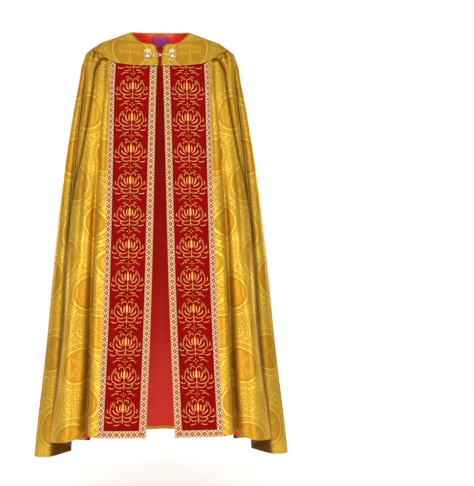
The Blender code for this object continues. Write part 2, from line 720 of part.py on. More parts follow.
def ring_tube(name, path, radius, sides, finish, parts):
    """A round cord along a closed path over the yoke's front."""
    along = np.roll(path, -1, axis=0) - np.roll(path, 1, axis=0)
    along /= np.linalg.norm(along, axis=-1, keepdims=True)
    over = np.cross(along, np.array([0.0, 1.0, 0.0]))
    over /= np.linalg.norm(over, axis=-1, keepdims=True)
    across = np.cross(over, along)
    points, faces = [], []
    for p, u, v in zip(path, across, over):
        for k in range(sides):
            turn = math.tau * k / sides
            points.append(p + radius * (u * math.cos(turn) + v * math.sin(turn)))
    for i in range(len(path)):
        for k in range(sides):
            n, m = (k + 1) % sides, (i + 1) % len(path)
            faces.append([i * sides + k, i * sides + n, m * sides + n, m * sides + k])
    return solid(name, points, faces, finish, parts)


# Profile of the tassel's head, from its top down.
Turning = namedtuple("Turning", "drop radius")
TASSEL_HEAD = (
    Turning(0.0000, 0.0022),
    Turning(0.0014, 0.0048),
    Turning(0.0050, 0.0062),
    Turning(0.0090, 0.0050),
    Turning(0.0108, 0.0036),
    Turning(0.0130, 0.0052),
    Turning(0.0170, 0.0060),
)
STRAND_RINGS = (0.0, 0.0030, 0.0060)  # the strands leave the head's foot between these


def add_tassel(parts):
    """A tassel of one piece, whose strands grow from the foot of its head."""
    top_depth = hood_surface(0.0, HOOD_EDGE[0].height) + HOOD_LIFT + TASSEL_STAND

    def place(x, y, drop):
        return (x, top_depth + y + TASSEL_TILT * drop, TASSEL_TOP - drop)

    sides = TASSEL_SIDES
    turns = [math.tau * k / sides for k in range(sides)]
    points, faces = [place(0.0, 0.0, 0.0)], []
    for drop, radius in TASSEL_HEAD:
        points += [place(radius * math.cos(t), radius * math.sin(t), drop) for t in turns]
    foot = TASSEL_HEAD[-1].drop
    inner = len(points)
    radius = STRAND_RINGS[1]
    points += [place(radius * math.cos(t), radius * math.sin(t), foot) for t in turns]
    centre = len(points)
    points.append(place(0.0, 0.0, foot))
    outer = 1 + (len(TASSEL_HEAD) - 1) * sides
    roots = []
    for k in range(sides):
        n = (k + 1) % sides
        faces.append([0, 1 + k, 1 + n])
        for i in range(len(TASSEL_HEAD) - 1):
            a, b = 1 + i * sides, 1 + (i + 1) * sides
            faces.append([a + k, b + k, b + n, a + n])
        roots.append([outer + k, inner + k, inner + n, outer + n])
        roots.append([inner + k, centre, inner + n])
    length = TASSEL_TOP - TASSEL_FOOT
    for index, root in enumerate(roots):
        corners = np.array([points[k] for k in root])
        middle = corners.mean(axis=0)
        spread = np.array([middle[0], middle[1] - top_depth - TASSEL_TILT * foot])
        last = list(root)
        end = length - 0.004 * (0.5 + 0.5 * math.sin(2.4 * index))
        for share, swell, size in ((0.0, 1.0, 0.8), (0.25, 1.45, 0.8), (1.0, 2.25, 1.05)):
            drop = blend(foot, end, share) + (0.0006 if share == 0 else 0.0)
            now = []
            for corner in corners:
                off = (corner - middle)[:2] * size
                now.append(len(points))
                points.append(place(*(spread * swell + off), drop))
            for a, b, c, d in zip(last, last[1:] + last[:1], now[1:] + now[:1], now):
                faces.append([a, b, c, d])
            last = now
        faces.append(last)
    solid("tassel", points, faces, "gold_thread", parts)
    hood_y = hood_surface(0.0, HOOD_EDGE[0].height) + HOOD_LIFT + BROCADE
    cord = [(0.0, hood_y + 0.0012, HOOD_EDGE[0].height + 0.006)]
    cord += [(0.0, hood_y + 0.0030, HOOD_EDGE[0].height - 0.002)]
    cord += [(0.0, top_depth, TASSEL_TOP + 0.0012)]
    tube("tassel_cord", cord, 0.0012, 6, "gold_thread", parts, up=(1.0, 0.0, 0.0))


def main():
    for obj in list(bpy.data.objects):
        bpy.data.objects.remove(obj)
    parts = bpy.data.collections.new("cope_vestment")
    bpy.context.scene.collection.children.link(parts)
    add_cloth(parts)
    add_yoke(parts)
    add_hood(parts)
    add_neck(parts)
    add_clasp(parts)
    add_tassel(parts)


main()
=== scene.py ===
"""The cope vestment dressed over its solids: fine cloth, orphreys, embroidery and fittings.

Metres, +Z up. The front faces -Y and +X is the wearer's left, as in the frame. Flat work
is made flat, with its face up, and is then laid on the surface that carries it.
"""

import math
import random
from collections import namedtuple

import bmesh
import bpy
import numpy as np
from mathutils import Euler, Matrix, Vector


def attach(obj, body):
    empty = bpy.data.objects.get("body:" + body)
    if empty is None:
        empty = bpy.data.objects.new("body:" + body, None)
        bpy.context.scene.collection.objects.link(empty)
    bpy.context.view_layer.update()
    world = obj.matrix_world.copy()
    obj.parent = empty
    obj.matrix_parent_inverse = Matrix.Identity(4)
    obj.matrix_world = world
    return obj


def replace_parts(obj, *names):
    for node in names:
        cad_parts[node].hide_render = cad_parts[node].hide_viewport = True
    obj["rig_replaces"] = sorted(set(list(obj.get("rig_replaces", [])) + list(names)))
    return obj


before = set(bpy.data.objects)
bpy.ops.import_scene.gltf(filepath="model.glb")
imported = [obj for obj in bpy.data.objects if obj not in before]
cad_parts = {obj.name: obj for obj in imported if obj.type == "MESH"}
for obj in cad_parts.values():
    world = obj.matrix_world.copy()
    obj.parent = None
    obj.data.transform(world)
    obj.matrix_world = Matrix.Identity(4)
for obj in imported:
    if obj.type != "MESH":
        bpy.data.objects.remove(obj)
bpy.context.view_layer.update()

# ---------------------------------------------------------------- driving dimensions
SEAM_GAP = 0.0003
BROCADE = 0.0016
LINING_CLOTH = 0.0010
TRIM_CLOTH = 0.0010
LABEL_CLOTH = 0.0004
LABEL_HALF_WIDTH = 0.026
YOKE_LIFT = BROCADE + 0.0008
HOOD_LIFT = BROCADE + 0.0018
BAND_LIFT = BROCADE + SEAM_GAP + TRIM_CLOTH
CROSS_LIFT = HOOD_LIFT + BROCADE + 3 * SEAM_GAP + TRIM_CLOTH

BAND_WIDTH = 0.154
BRAID_WIDTH = 0.022
BAND_SETBACK_TOP = 0.025
BAND_SETBACK_HEM = 0.004
HEM_TURNING = 0.020

NECK_SIDE_HEIGHT = 0.031
NECK_FRONT_SLOPE = 0.61
NECK_BACK_SLOPE = 0.10
NECK_LOWEST = -0.0600  # the neck's edge is looked for above this height
PIPING_RADIUS = 0.0022
PIPING_PITCH = 0.0105

CROSS_HEIGHT = -0.2065
CROSS_REACH = 0.2180
ARM_END_HALF_WIDTH = 0.0745
ARM_ROOT_HALF_WIDTH = 0.0560
ARM_ROOT = 0.0640
MEDALLION_RADIUS = 0.0740
MEDALLION_RIM = 0.0835
MEDALLION_STITCHES = 230

CLASP_CENTRE = (0.0405, -0.0540)
CLASP_HALF_WIDTH = 0.0155
CLASP_HALF_HEIGHT = 0.0205

TASSEL_TOP = -0.5470
TASSEL_FOOT = -0.6480
TASSEL_STAND = 0.0085
TASSEL_TILT = 0.055
TASSEL_STRANDS = 150
TASSEL_RADIUS = 0.0058
TASSEL_SPREAD = 1.9  # about the foot's width as a share of the top's
STRAND_RADIUS = 0.00042
GOLDEN_TURN = 2.39996  # radians between one strand of the tassel and the next

HANG = 1.33  # about how far the cloth falls below the yoke
MIRROR = np.array([-1.0, 1.0, 1.0])  # turns a point to the wearer's other side

# The oval that the cope fills at each height: half width, and depth before and behind.
Section = namedtuple("Section", "height half_width front_depth back_depth")
FORM = (
    Section(0.0400, 0.0720, 0.0040, 0.0700),
    Section(0.0310, 0.0970, 0.0120, 0.0820),
    Section(0.0200, 0.1270, 0.0280, 0.0920),
    Section(0.0080, 0.1590, 0.0450, 0.1000),
    Section(-0.0070, 0.2000, 0.0670, 0.1080),
    Section(-0.0210, 0.2210, 0.0860, 0.1140),
    Section(-0.0300, 0.2390, 0.0920, 0.1180),
    Section(-0.0410, 0.2490, 0.0970, 0.1210),
    Section(-0.0690, 0.2590, 0.1100, 0.1280),
    Section(-0.0910, 0.2660, 0.1180, 0.1320),
    Section(-0.1310, 0.2730, 0.1300, 0.1380),
    Section(-0.2340, 0.2940, 0.1520, 0.1530),
    Section(-0.3900, 0.3210, 0.1800, 0.1730),
    Section(-0.5450, 0.3420, 0.2060, 0.1910),
    Section(-0.7520, 0.3660, 0.2380, 0.2140),
    Section(-1.0620, 0.3970, 0.2840, 0.2500),
    Section(-1.2860, 0.4245, 0.3300, 0.2770),
    Section(-1.4300, 0.4400, 0.3500, 0.2950),
)

YokeEdge = namedtuple("YokeEdge", "angle height")
YOKE_EDGE = (
    YokeEdge(0.0, -0.0210),
    YokeEdge(38.0, -0.0444),
    YokeEdge(47.0, -0.0642),
    YokeEdge(52.0, -0.0718),
    YokeEdge(58.0, -0.0806),
    YokeEdge(66.0, -0.0860),
    YokeEdge(74.0, -0.0898),
    YokeEdge(90.0, -0.0910),
)

Gap = namedtuple("Gap", "height half_gap")
YOKE_GAP = (
    Gap(-0.0910, 0.0045),
    Gap(-0.0540, 0.0066),
    Gap(-0.0200, 0.0165),
)
BAND_GAP = (
    Gap(-1.2900, 0.0465),
    Gap(-0.8400, 0.0285),
    Gap(-0.6700, 0.0240),
    Gap(-0.0910, 0.0100),
    Gap(-0.0600, 0.0080),
)

# The folds of one side, from the front edge to the centre of the back, as in the solids.
Fold = namedtuple("Fold", "name top_angle arm_angle hem_angle reach gather hem")
FOLDS = (
    Fold("front edge", -87.5, -87.5, -87.5, 1.000, 0.000, -1.286),
    Fold("band middle", -71.0, -71.0, -71.0, 1.000, 0.000, -1.286),
    Fold("band outer edge", -52.0, -52.0, -52.0, 1.000, 0.000, -1.285),
    Fold("first roll", -50.0, -53.0, -61.6, 1.099, 0.010, -1.283),
    Fold("first valley front", -46.8, -48.3, -51.3, 0.885, -0.020, -1.289),
    Fold("first valley back", -45.2, -46.7, -49.3, 0.885, -0.020, -1.291),
    Fold("great fold rise", -41.0, -45.0, -51.7, 0.990, 0.022, -1.300),
    Fold("great fold crest", -33.0, -42.0, -48.9, 1.076, -0.018, -1.311),
    Fold("great fold turn", -25.0, -38.0, -41.0, 1.0625, 0.024, -1.320),
    Fold("great fold edge", -14.0, -31.0, -28.5, 0.967, 0.020, -1.335),
    Fold("great fold under", -9.0, -22.0, -17.8, 0.835, -0.010, -1.365),
    Fold("side tuck front", -5.8, -13.8, -5.6, 0.722, -0.022, -1.398),
    Fold("side tuck back", -4.2, -12.2, -3.2, 0.727, -0.022, -1.402),
    Fold("side fold front", -1.0, -11.0, -9.7, 0.893, 0.000, -1.412),
    Fold("side fold", 4.0, 0.0, 0.0, 1.000, 0.010, -1.420),
    Fold("side fold back", 14.0, 17.0, 21.5, 0.984, 0.000, -1.402),
    Fold("side fold under", 22.0, 25.0, 29.1, 0.904, -0.012, -1.396),
    Fold("rear tuck front", 26.2, 28.2, 27.8, 0.676, -0.020, -1.391),
    Fold("rear tuck back", 27.8, 29.8, 30.2, 0.680, -0.020, -1.389),
    Fold("rear fold edge", 33.0, 33.0, 36.3, 0.975, 0.010, -1.388),
    Fold("rear fold crest", 42.0, 44.0, 48.5, 1.019, 0.000, -1.389),
    Fold("back tuck front", 48.2, 52.2, 55.9, 0.696, -0.015, -1.390),
    Fold("back tuck back", 49.8, 53.8, 58.3, 0.696, -0.015, -1.391),
    Fold("back panel edge", 54.0, 56.0, 56.3, 1.012, 0.008, -1.398),
    Fold("back panel ridge", 70.0, 71.0, 71.5, 1.075, 0.000, -1.404),
    Fold("centre back", 90.0, 90.0, 90.0, 0.935, 0.000, -1.394),
)
BAND_ROWS = 2
SEAM_PLACE = 12.5
LAST_ROW = len(FOLDS) - 1
TOP_REACH = 0.998
FRONT_TUCK_SHARE = 0.85  # of the way from the neck to the yoke's edge, where the fronts start
SWING_FALL = 0.07  # below the yoke the folds swing to their arm angles over about this fall
DRAWN_START = 0.012  # the gathers spread out of the seam over about this fall
DRAWN_FALL = 0.16  # and die out over about this one
BAND_TOP_BLEND = 0.02  # over this height, above the yoke's foot, the orphrey leaves the oval

# Places along FOLDS, or shares of the fall, between which a painted shade holds: it rises
# from start to full, and dies away from fading to end.
Span = namedtuple("Span", "start full fading end")
SIDE_FOLD_SHADE = Span(13.8, 14.1, 14.4, 15.2)
HEM_SIDE_FOLDS_SHADE = Span(7.8, 9.0, 14.5, 16.0)
# The folds beside the orphrey get little painted shade.
FIRST_FOLDS_END = 6.2  # the folds beside the orphrey, which hold little shade
# The painted shadow in the great fold's pocket starts at the fold's edge; its end moves back on the way
# down.
POCKET_START = (8.4, 9.1)
POCKET_END = 12.15
POCKET_DRIFT = 0.75

HoodEdge = namedtuple("HoodEdge", "share across height")
HOOD_EDGE = (
    HoodEdge(0.00, 0.0000, -0.5400),
    HoodEdge(0.38, 0.0749, -0.4621),
    HoodEdge(0.74, 0.1540, -0.3788),
    HoodEdge(0.92, 0.2034, -0.3100),
    HoodEdge(1.00, 0.2235, -0.2614),
)
HOOD_NECK_SHARE = 0.5

Turning = namedtuple("Turning", "drop radius")
TASSEL_HEAD = (
    Turning(0.0000, 0.0022),
    Turning(0.0014, 0.0048),
    Turning(0.0050, 0.0062),
    Turning(0.0090, 0.0050),
    Turning(0.0108, 0.0036),
    Turning(0.0130, 0.0052),
    Turning(0.0170, 0.0060),
)

# The clasp's plate from its rim inwards: shares of its size, and heights.
Profile = namedtuple("Profile", "size rise")
CLASP_PROFILE = (
    Profile(1.00, 0.0000),
    Profile(1.00, 0.0012),
    Profile(0.93, 0.0018),
    Profile(0.84, 0.0016),
    Profile(0.72, 0.0026),
    Profile(0.58, 0.0024),
    Profile(0.44, 0.0030),
    Profile(0.36, 0.0046),
    Profile(0.20, 0.0056),
    Profile(0.00, 0.0058),
)
GrainRing = namedtuple("GrainRing", "size count rise radius")
CLASP_GRAINS = (
    GrainRing(0.84, 32, 0.0020, 0.00055),
    GrainRing(0.62, 16, 0.0030, 0.00075),
    GrainRing(0.46, 20, 0.0036, 0.00050),
)
Bend = namedtuple("Bend", "across rise")
CLASP_HOOK = (
    Bend(0.0262, 0.0006),
    Bend(0.0200, 0.0022),
    Bend(0.0090, 0.0027),
    Bend(0.0010, 0.0027),
    Bend(-0.0022, 0.0012),
    Bend(-0.0012, -0.0016),
    Bend(0.0030, -0.0026),
)

# ---------------------------------------------------------------- sizes of the dressing
GOLD_CLOTH = 0.0007  # one layer of the brocade, whose hem is turned up inside
LINED_CLOTH = 0.0012  # the yoke and the hood, which are two layers thick
SATIN_CLOTH = 0.0005
VELVET_CLOTH = 0.0006
BRAID_CLOTH = 0.0007
VELVET_DROP = 0.0003  # the velvet lies that much lower than the braid
WORK_DROP = 0.0004  # the middle of the embroidery's threads lies that much lower than the braid
BRAID_MARGIN = 0.0003  # between the braid and the edge of what it trims
VELVET_MARGIN = 0.0002  # between the velvet and its braid
COLUMN_STEP = 0.0098  # across the folds, at the hem
FRONT_STEP = 0.0060
ROW_STEP = 0.0115
GATHER_DEPTH = 0.0062
GATHER_FALL = 0.085
BAND_WAVE = 0.0016
LINING_FINE_ROWS = 16  # the lining keeps this many rows, and below them every other one

# The turned-in front edge: how far each line of it lies beyond the edge and behind the
# face, and how far from the edge in the flat cut.
Turned = namedtuple("Turned", "beyond behind cut")
FRONT_TURNING = (
    Turned(-0.0120, 0.0016, 0.0160),
    Turned(-0.0006, 0.0016, 0.0034),
    Turned(0.0001, 0.0012, 0.0022),
    Turned(0.0002, 0.0006, 0.0008),
)
# The hem turns in through these angles; its rows lie so far past the cut's last one.
HEM_BEND = (30, 60, 90, 120, 150)
HEM_CUT = (0.0002, 0.0004, 0.0008, 0.0012, 0.0016, 0.0020, 0.0090, 0.0160, 0.0240)

REPEAT_ACROSS = 0.168  # of the woven roundels
REPEAT_DOWN = 0.178
BACK_COLUMN = 0.134  # the first column of roundels, from the centre of the back
BACK_ROUNDEL_HEIGHT = -0.988
YOKE_ROUNDEL = (0.099, 0.046)  # across, and above the yoke's foot
HOOD_ROUNDEL_HEIGHT = -0.453
CUT_RADIUS = 1.75  # from the centre of the cope's cut to its hem

MOTIF_PITCH = 0.1035
FIRST_MOTIF = -0.0655  # height of the one that the yoke half covers
MOTIF_COUNT = 12
MILLIMETRE = 0.001

AMBIENT = 0.42  # light from all round, as a share of white
FLOOR_RADIUS = 2.6
FLOOR_HEIGHT = -1.62
FLOOR_COLOUR = (0.94, 0.94, 0.94, 1.0)
FLOOR_GLOW = 0.12
Lamp = namedtuple("Lamp", "name place size power")
LAMPS = (
    Lamp("key", (-2.3, -3.6, 0.2), 1.6, 84.0),
    Lamp("fill", (2.3, -3.6, 0.2), 1.6, 74.0),
    Lamp("back left", (-2.2, 3.6, -0.3), 1.6, 76.0),
    Lamp("back right", (2.2, 3.6, -0.3), 1.6, 88.0),
    Lamp("above", (0.0, -0.4, 3.2), 2.2, 26.0),
)
LAMPS_AIM = (0.0, 0.0, -0.7)
CAMERA_PLACE = (0.0463, -3.704, -0.4809)
CAMERA_DIP = 3.149  # degrees
CAMERA_TURN = 3.339
CAMERA_ANGLE = 25.516

STITCH_LENGTH = 0.0024
STITCH_PITCH = 0.0036
STITCH_THREAD = 0.00030
PLY_OFFSET = 0.52  # from a cord's middle to its plies', as a share of its radius
PLY_RADIUS = 0.55

# A soft crease: a trough (negative) or a ridge that runs down the cloth. Places are along
# FOLDS, start and end are shares of the fall below the yoke.
Crease = namedtuple("Crease", "place drift start end depth width bend", defaults=[0.0])
# The deepest troughs get a painted shade of their own.
SHADED_CREASE_DEPTH = 0.0095  # a trough deeper than this holds a shade of its own
CREASES = (
    Crease(7.55, 4.0, -0.30, 0.60, -0.0110, 0.010, -2.5),
    Crease(7.80, 9.0, -0.06, 0.08, -0.0070, 0.007),
    Crease(-1.06, 6.8, 0.60, 1.00, -0.0070, 0.011),
    Crease(7.20, -1.2, 0.16, 0.52, 0.0052, 0.013),
    Crease(7.10, 0.3, 0.58, 0.96, 0.0050, 0.015),
    Crease(2.35, 0.15, 0.05, 0.40, -0.0030, 0.012),
    Crease(2.75, 0.05, 0.30, 0.95, 0.0025, 0.014),
    Crease(3.40, -0.10, 0.02, 0.30, 0.0030, 0.010),
    Crease(3.55, 0.10, 0.45, 0.90, -0.0022, 0.010),
    Crease(6.35, 0.25, 0.04, 0.35, -0.0024, 0.013),
    Crease(6.80, 0.10, 0.25, 0.85, 0.0040, 0.016),
    Crease(7.30, -0.15, 0.10, 0.70, -0.0075, 0.016),
    Crease(7.75, -0.20, 0.40, 1.00, 0.0036, 0.020),
    Crease(8.25, 0.20, 0.00, 0.45, -0.0034, 0.012),
    Crease(8.55, 0.10, 0.50, 1.00, -0.0080, 0.020),
    Crease(8.85, -0.10, 0.15, 0.80, 0.0030, 0.014),
    Crease(9.30, 0.10, 0.30, 1.00, -0.0026, 0.018),
    Crease(13.40, 0.20, 0.02, 0.50, 0.0030, 0.011),
    Crease(13.80, 0.00, 0.35, 0.95, -0.0034, 0.014),
    Crease(14.30, 0.10, 0.00, 0.35, -0.0030, 0.010),
    Crease(14.60, 0.15, 0.20, 0.80, 0.0034, 0.016),
    Crease(15.10, -0.10, 0.30, 1.00, -0.0040, 0.018),
    Crease(15.55, 0.10, 0.05, 0.60, 0.0028, 0.012),
    Crease(19.25, 0.15, 0.12, 0.75, -0.0034, 0.013),
    Crease(19.70, 0.05, 0.30, 1.00, 0.0030, 0.016),
    Crease(20.30, -0.20, 0.05, 0.55, -0.0028, 0.012),
    Crease(20.60, 0.00, 0.45, 1.00, -0.0036, 0.018),
    Crease(23.25, 0.10, 0.32, 0.85, -0.0030, 0.020),
    Crease(23.70, -0.05, 0.40, 1.00, 0.0030, 0.026),
    Crease(24.20, 0.10, 0.36, 0.80, -0.0022, 0.022),
    Crease(24.60, 0.05, 0.50, 1.00, 0.0026, 0.030),
)
# Painted shade: cloth lies low where its neighbours at a reach stand higher than it does. Least
# is the rise, as a share of the reach, at which its painted shade begins, and most the one at its full.
Hollow = namedtuple("Hollow", "reach least most")
HOLLOW_SHADE = (
    Hollow(0.009, 0.06, 0.50),
    Hollow(0.020, 0.06, 0.50),
    Hollow(0.050, 0.30, 0.90),
)


# ---------------------------------------------------------------- tables and curves
def through(xs, ys, x):
    """Monotone cubic through a table's points, so nothing overshoots between rows."""
    xs, ys = np.asarray(xs, float), np.asarray(ys, float)
    x = np.clip(np.asarray(x, float), xs[0], xs[-1])
    step = np.diff(xs)
    slope = np.diff(ys) / step
    product = slope[:-1] * slope[1:]
    total = np.where(product > 0, slope[:-1] + slope[1:], 1.0)
    inner = np.where(product > 0, 2 * product / total, 0.0)
    tangent = np.concatenate([slope[:1], inner, slope[-1:]])
    i = np.clip(np.searchsorted(xs, x, side="right") - 1, 0, len(step) - 1)
    t = (x - xs[i]) / step[i]
    return (
        ys[i] * (1 + 2 * t) * (1 - t) ** 2
        + ys[i + 1] * (3 - 2 * t) * t**2
        + tangent[i] * step[i] * t * (1 - t) ** 2
        - tangent[i + 1] * step[i] * t**2 * (1 - t)
    )


def column(table, name):
    return [getattr(row, name) for row in table]


def form(height):
    """Half width, front depth and back depth of the oval at a height."""
    rows = FORM[::-1]
    heights = column(rows, "height")
    names = ("half_width", "front_depth", "back_depth")
    return tuple(through(heights, column(rows, name), height) for name in names)


def on_form(angle, height, reach=1.0):
    """Plan position on the oval at an angle in degrees, the front negative."""
    half_width, front, back = form(height)
    turn = np.radians(angle)
    depth = np.where(turn < 0, front, back)
    return half_width * reach * np.cos(turn), depth * reach * np.sin(turn)


def yoke_edge(angle):
    size = np.abs(np.asarray(angle, float))
    return through(column(YOKE_EDGE, "angle"), column(YOKE_EDGE, "height"), size)


def gap_at(table, height):
    return through(column(table, "height"), column(table, "half_gap"), height)


def neck_edge(angle):
    """Height of the neck's edge, a plane cut that falls to the front."""
    angle = np.asarray(angle, float)
    low, high = np.full(angle.shape, NECK_LOWEST), np.full(angle.shape, FORM[0].height)
    for _ in range(40):
        middle = (low + high) / 2
        y = on_form(angle, middle)[1]
        slope = np.where(y < 0, NECK_FRONT_SLOPE, NECK_BACK_SLOPE)
        above = middle > NECK_SIDE_HEIGHT + slope * y
        high = np.where(above, middle, high)
        low = np.where(above, low, middle)
    return middle


def blend(a, b, share):
    return a + (b - a) * share


def eased(x, start, end):
    """0 before start and 1 after end, with a smooth rise between them."""
    t = np.clip((x - start) / (end - start), 0, 1)
    return t * t * (3 - 2 * t)


def spanned(x, span):
    """1 in the middle of a Span, with a smooth rise and fall at its ends."""
    return eased(x, span.start, span.full) * (1 - eased(x, span.fading, span.end))


def unit(vectors):
    return vectors / np.linalg.norm(vectors, axis=-1, keepdims=True)


def spoke(radius, turn):
    """The flat point at a distance from the middle and a turn in radians."""
    return radius * math.cos(turn), radius * math.sin(turn)


# ---------------------------------------------------------------- the folded cloth
def band_point(row, height, drop):
    """A point across the orphrey's width, which hangs nearly flat."""
    share = row / BAND_ROWS
    grown = (np.maximum(drop, 0) / HANG) ** 0.6
    setback = blend(BAND_SETBACK_TOP, BAND_SETBACK_HEM, grown)
    level = np.sqrt(BAND_WIDTH**2 - setback**2)
    x = gap_at(BAND_GAP, height) + level * share
    y = -form(height)[1] * TOP_REACH + setback * share**2
    return x, y


def fold_point(row, height):
    """Plan position of one row of FOLDS at a height; rows past the ends are mirrored."""
    if row < 0:
        x0, y0 = fold_point(0, height)
        x1, y1 = fold_point(1, height)
        return 2 * x0 - x1, 2 * y0 - y1
    if row > LAST_ROW:
        x, y = fold_point(2 * LAST_ROW - row, height)
        return -x, y
    fold = FOLDS[row]
    drop = yoke_edge(fold.top_angle) - height
    if row <= BAND_ROWS:
        hung = np.clip(1 + drop / BAND_TOP_BLEND, 0, 1)
        beneath = on_form(fold.top_angle, height, TOP_REACH)
        band = band_point(row, height, drop)
        return tuple(blend(a, b, hung) for a, b in zip(beneath, band))
    below = np.maximum(drop, 0)
    swung = 1 - np.exp(-below / SWING_FALL)
    angle = blend(fold.top_angle, fold.arm_angle, swung)
    angle = angle + (fold.hem_angle - fold.arm_angle) * below / HANG
    grown = (below / HANG) ** 0.7
    gathered = (1 - np.exp(-below / DRAWN_START)) * np.exp(-below / DRAWN_FALL)
    reach = blend(TOP_REACH, fold.reach, grown) + fold.gather * gathered
    return on_form(angle, height, reach)


def between(a, b, start, end, t):
    return a + (b - a) * ((t - start) / (end - start))[:, None]


def section_point(place, height):
    """Plan position at a place along the folds: a centripetal curve through their rows."""
    x, y = np.empty(place.shape), np.empty(place.shape)
    rows = np.clip(np.floor(place).astype(int), 0, LAST_ROW - 1)
    for row in np.unique(rows):
        here = rows == row
        z = height[here]
        p = [np.stack(fold_point(row + k, z), axis=-1) for k in (-1, 0, 1, 2)]
        knots = [np.zeros(len(z))]
        for a, b in zip(p, p[1:]):
            gap = np.linalg.norm(b - a, axis=-1)
            knots.append(knots[-1] + np.sqrt(np.maximum(gap, 1e-6)))
        t0, t1, t2, t3 = knots
        t = blend(t1, t2, place[here] - row)
        a1 = between(p[0], p[1], t0, t1, t)
        a2 = between(p[1], p[2], t1, t2, t)
        a3 = between(p[2], p[3], t2, t3, t)
        b1 = between(a1, a2, t0, t2, t)
        b2 = between(a2, a3, t1, t3, t)
        found = between(b1, b2, t1, t2, t)
        x[here], y[here] = found[:, 0], found[:, 1]
    return x, y


def along_folds(name, place):
    """A column of FOLDS read at a place along them."""
    return through(range(len(FOLDS)), column(FOLDS, name), place)


def band_wave(place, height):
    """How far the hanging orphrey swings forward and back, which dies out past its edge."""
    drop = np.maximum(-0.09 - height, 0)
    grown = 1 - np.exp(-drop / 0.15)
    sideways = 1 - eased(place, BAND_ROWS, BAND_ROWS + 1)
    wave = np.sin(drop * 11.0 + 0.9 * place) + 0.5 * np.sin(drop * 23.0 - 1.3 * place)
    return BAND_WAVE * grown * sideways * wave


def cloth_point(place, height):
    """A point of the cloth before its creases, at a place along the folds and a height."""
    x, y = section_point(place, height)
    return np.stack([x, y - band_wave(place, height), height], axis=-1)


def arc(points, axis):
    """Running length along one axis of a grid of points."""
    steps = np.linalg.norm(np.diff(points, axis=axis), axis=-1)
    lengths = np.cumsum(steps, axis=axis)
    start = np.zeros_like(np.take(lengths, [0], axis=axis))
    return np.concatenate([start, lengths], axis=axis)


def normals_of(grid):
    """Outward unit normals of a grid whose rows go down and columns anticlockwise."""
    return unit(np.cross(np.gradient(grid, axis=0), np.gradient(grid, axis=1)))


def all_round(grid):
    """One side's grid, which ends at the centre of the back, and the other side's after it."""
    return np.concatenate([grid, grid[:, -2::-1] * MIRROR], axis=1)


def both_ways(values):
    """One side's values, and the same in the other order after them."""
    return np.concatenate([values, values[:, -2::-1]], axis=1)


def fine_places():
    """Places along FOLDS that stand about COLUMN_STEP apart at the hem."""
    places = []
    for row in range(LAST_ROW):
        trial = np.linspace(row, row + 1, 9)
        hem = along_folds("hem", trial)
        length = arc(np.stack(section_point(trial, hem), axis=-1), 0)[-1]
        step = FRONT_STEP if row < math.floor(SEAM_PLACE) else COLUMN_STEP
        count = max(3, math.ceil(length / step))
        places += list(np.linspace(row, row + 1, count, endpoint=False))
    return np.array(places + [float(LAST_ROW)])


def gathers(arcs, share):
    """Uneven tucks where the cloth is drawn in under the yoke, some longer than others."""
    below = share * HANG
    length = GATHER_FALL * (0.75 + 0.45 * np.sin(arcs * 37.0 + 1.0))
    fade = np.exp(-below / length) * eased(below, 0.0, 0.012)
    phase = arcs * 290.0 + 2.4 * np.sin(arcs * 57.0) + 0.8 * np.sin(below * 19.0)
    tuck = (0.5 - 0.5 * np.cos(phase)) ** 2.5
    size = 0.60 + 0.40 * np.sin(arcs * 91.0)
    return GATHER_DEPTH * fade * (0.3 - tuck * size)


def creases(arcs, places, share):
    """The soft troughs and ridges of CREASES over a grid of running lengths, and the painted shade along
    their deepest troughs.
    """
    total = np.zeros_like(arcs)
    dark = np.zeros_like(arcs)
    for crease in CREASES:
        down = share[:, 0]
        centre_place = crease.place + crease.drift * down + crease.bend * np.exp(-down / 0.02)
        centre = np.array([np.interp(p, places, row) for p, row in zip(centre_place, arcs)])
        off = (arcs - centre[:, None]) / crease.width
        middle = (crease.start + crease.end) / 2
        rise = eased(share, crease.start, blend(crease.start, middle, 0.8))
        fall = 1 - eased(share, blend(middle, crease.end, 0.2), crease.end + 1e-3)
        total += crease.depth * np.exp(-(off**2)) * rise * fall
        # Painted shade along the deepest troughs.
        if crease.depth < -SHADED_CREASE_DEPTH:
            ends = rise * (1 - eased(share, crease.end - 0.15, crease.end))
            dark = np.maximum(dark, np.exp(-((off * 1.25) ** 2)) * ends)
    return total, dark


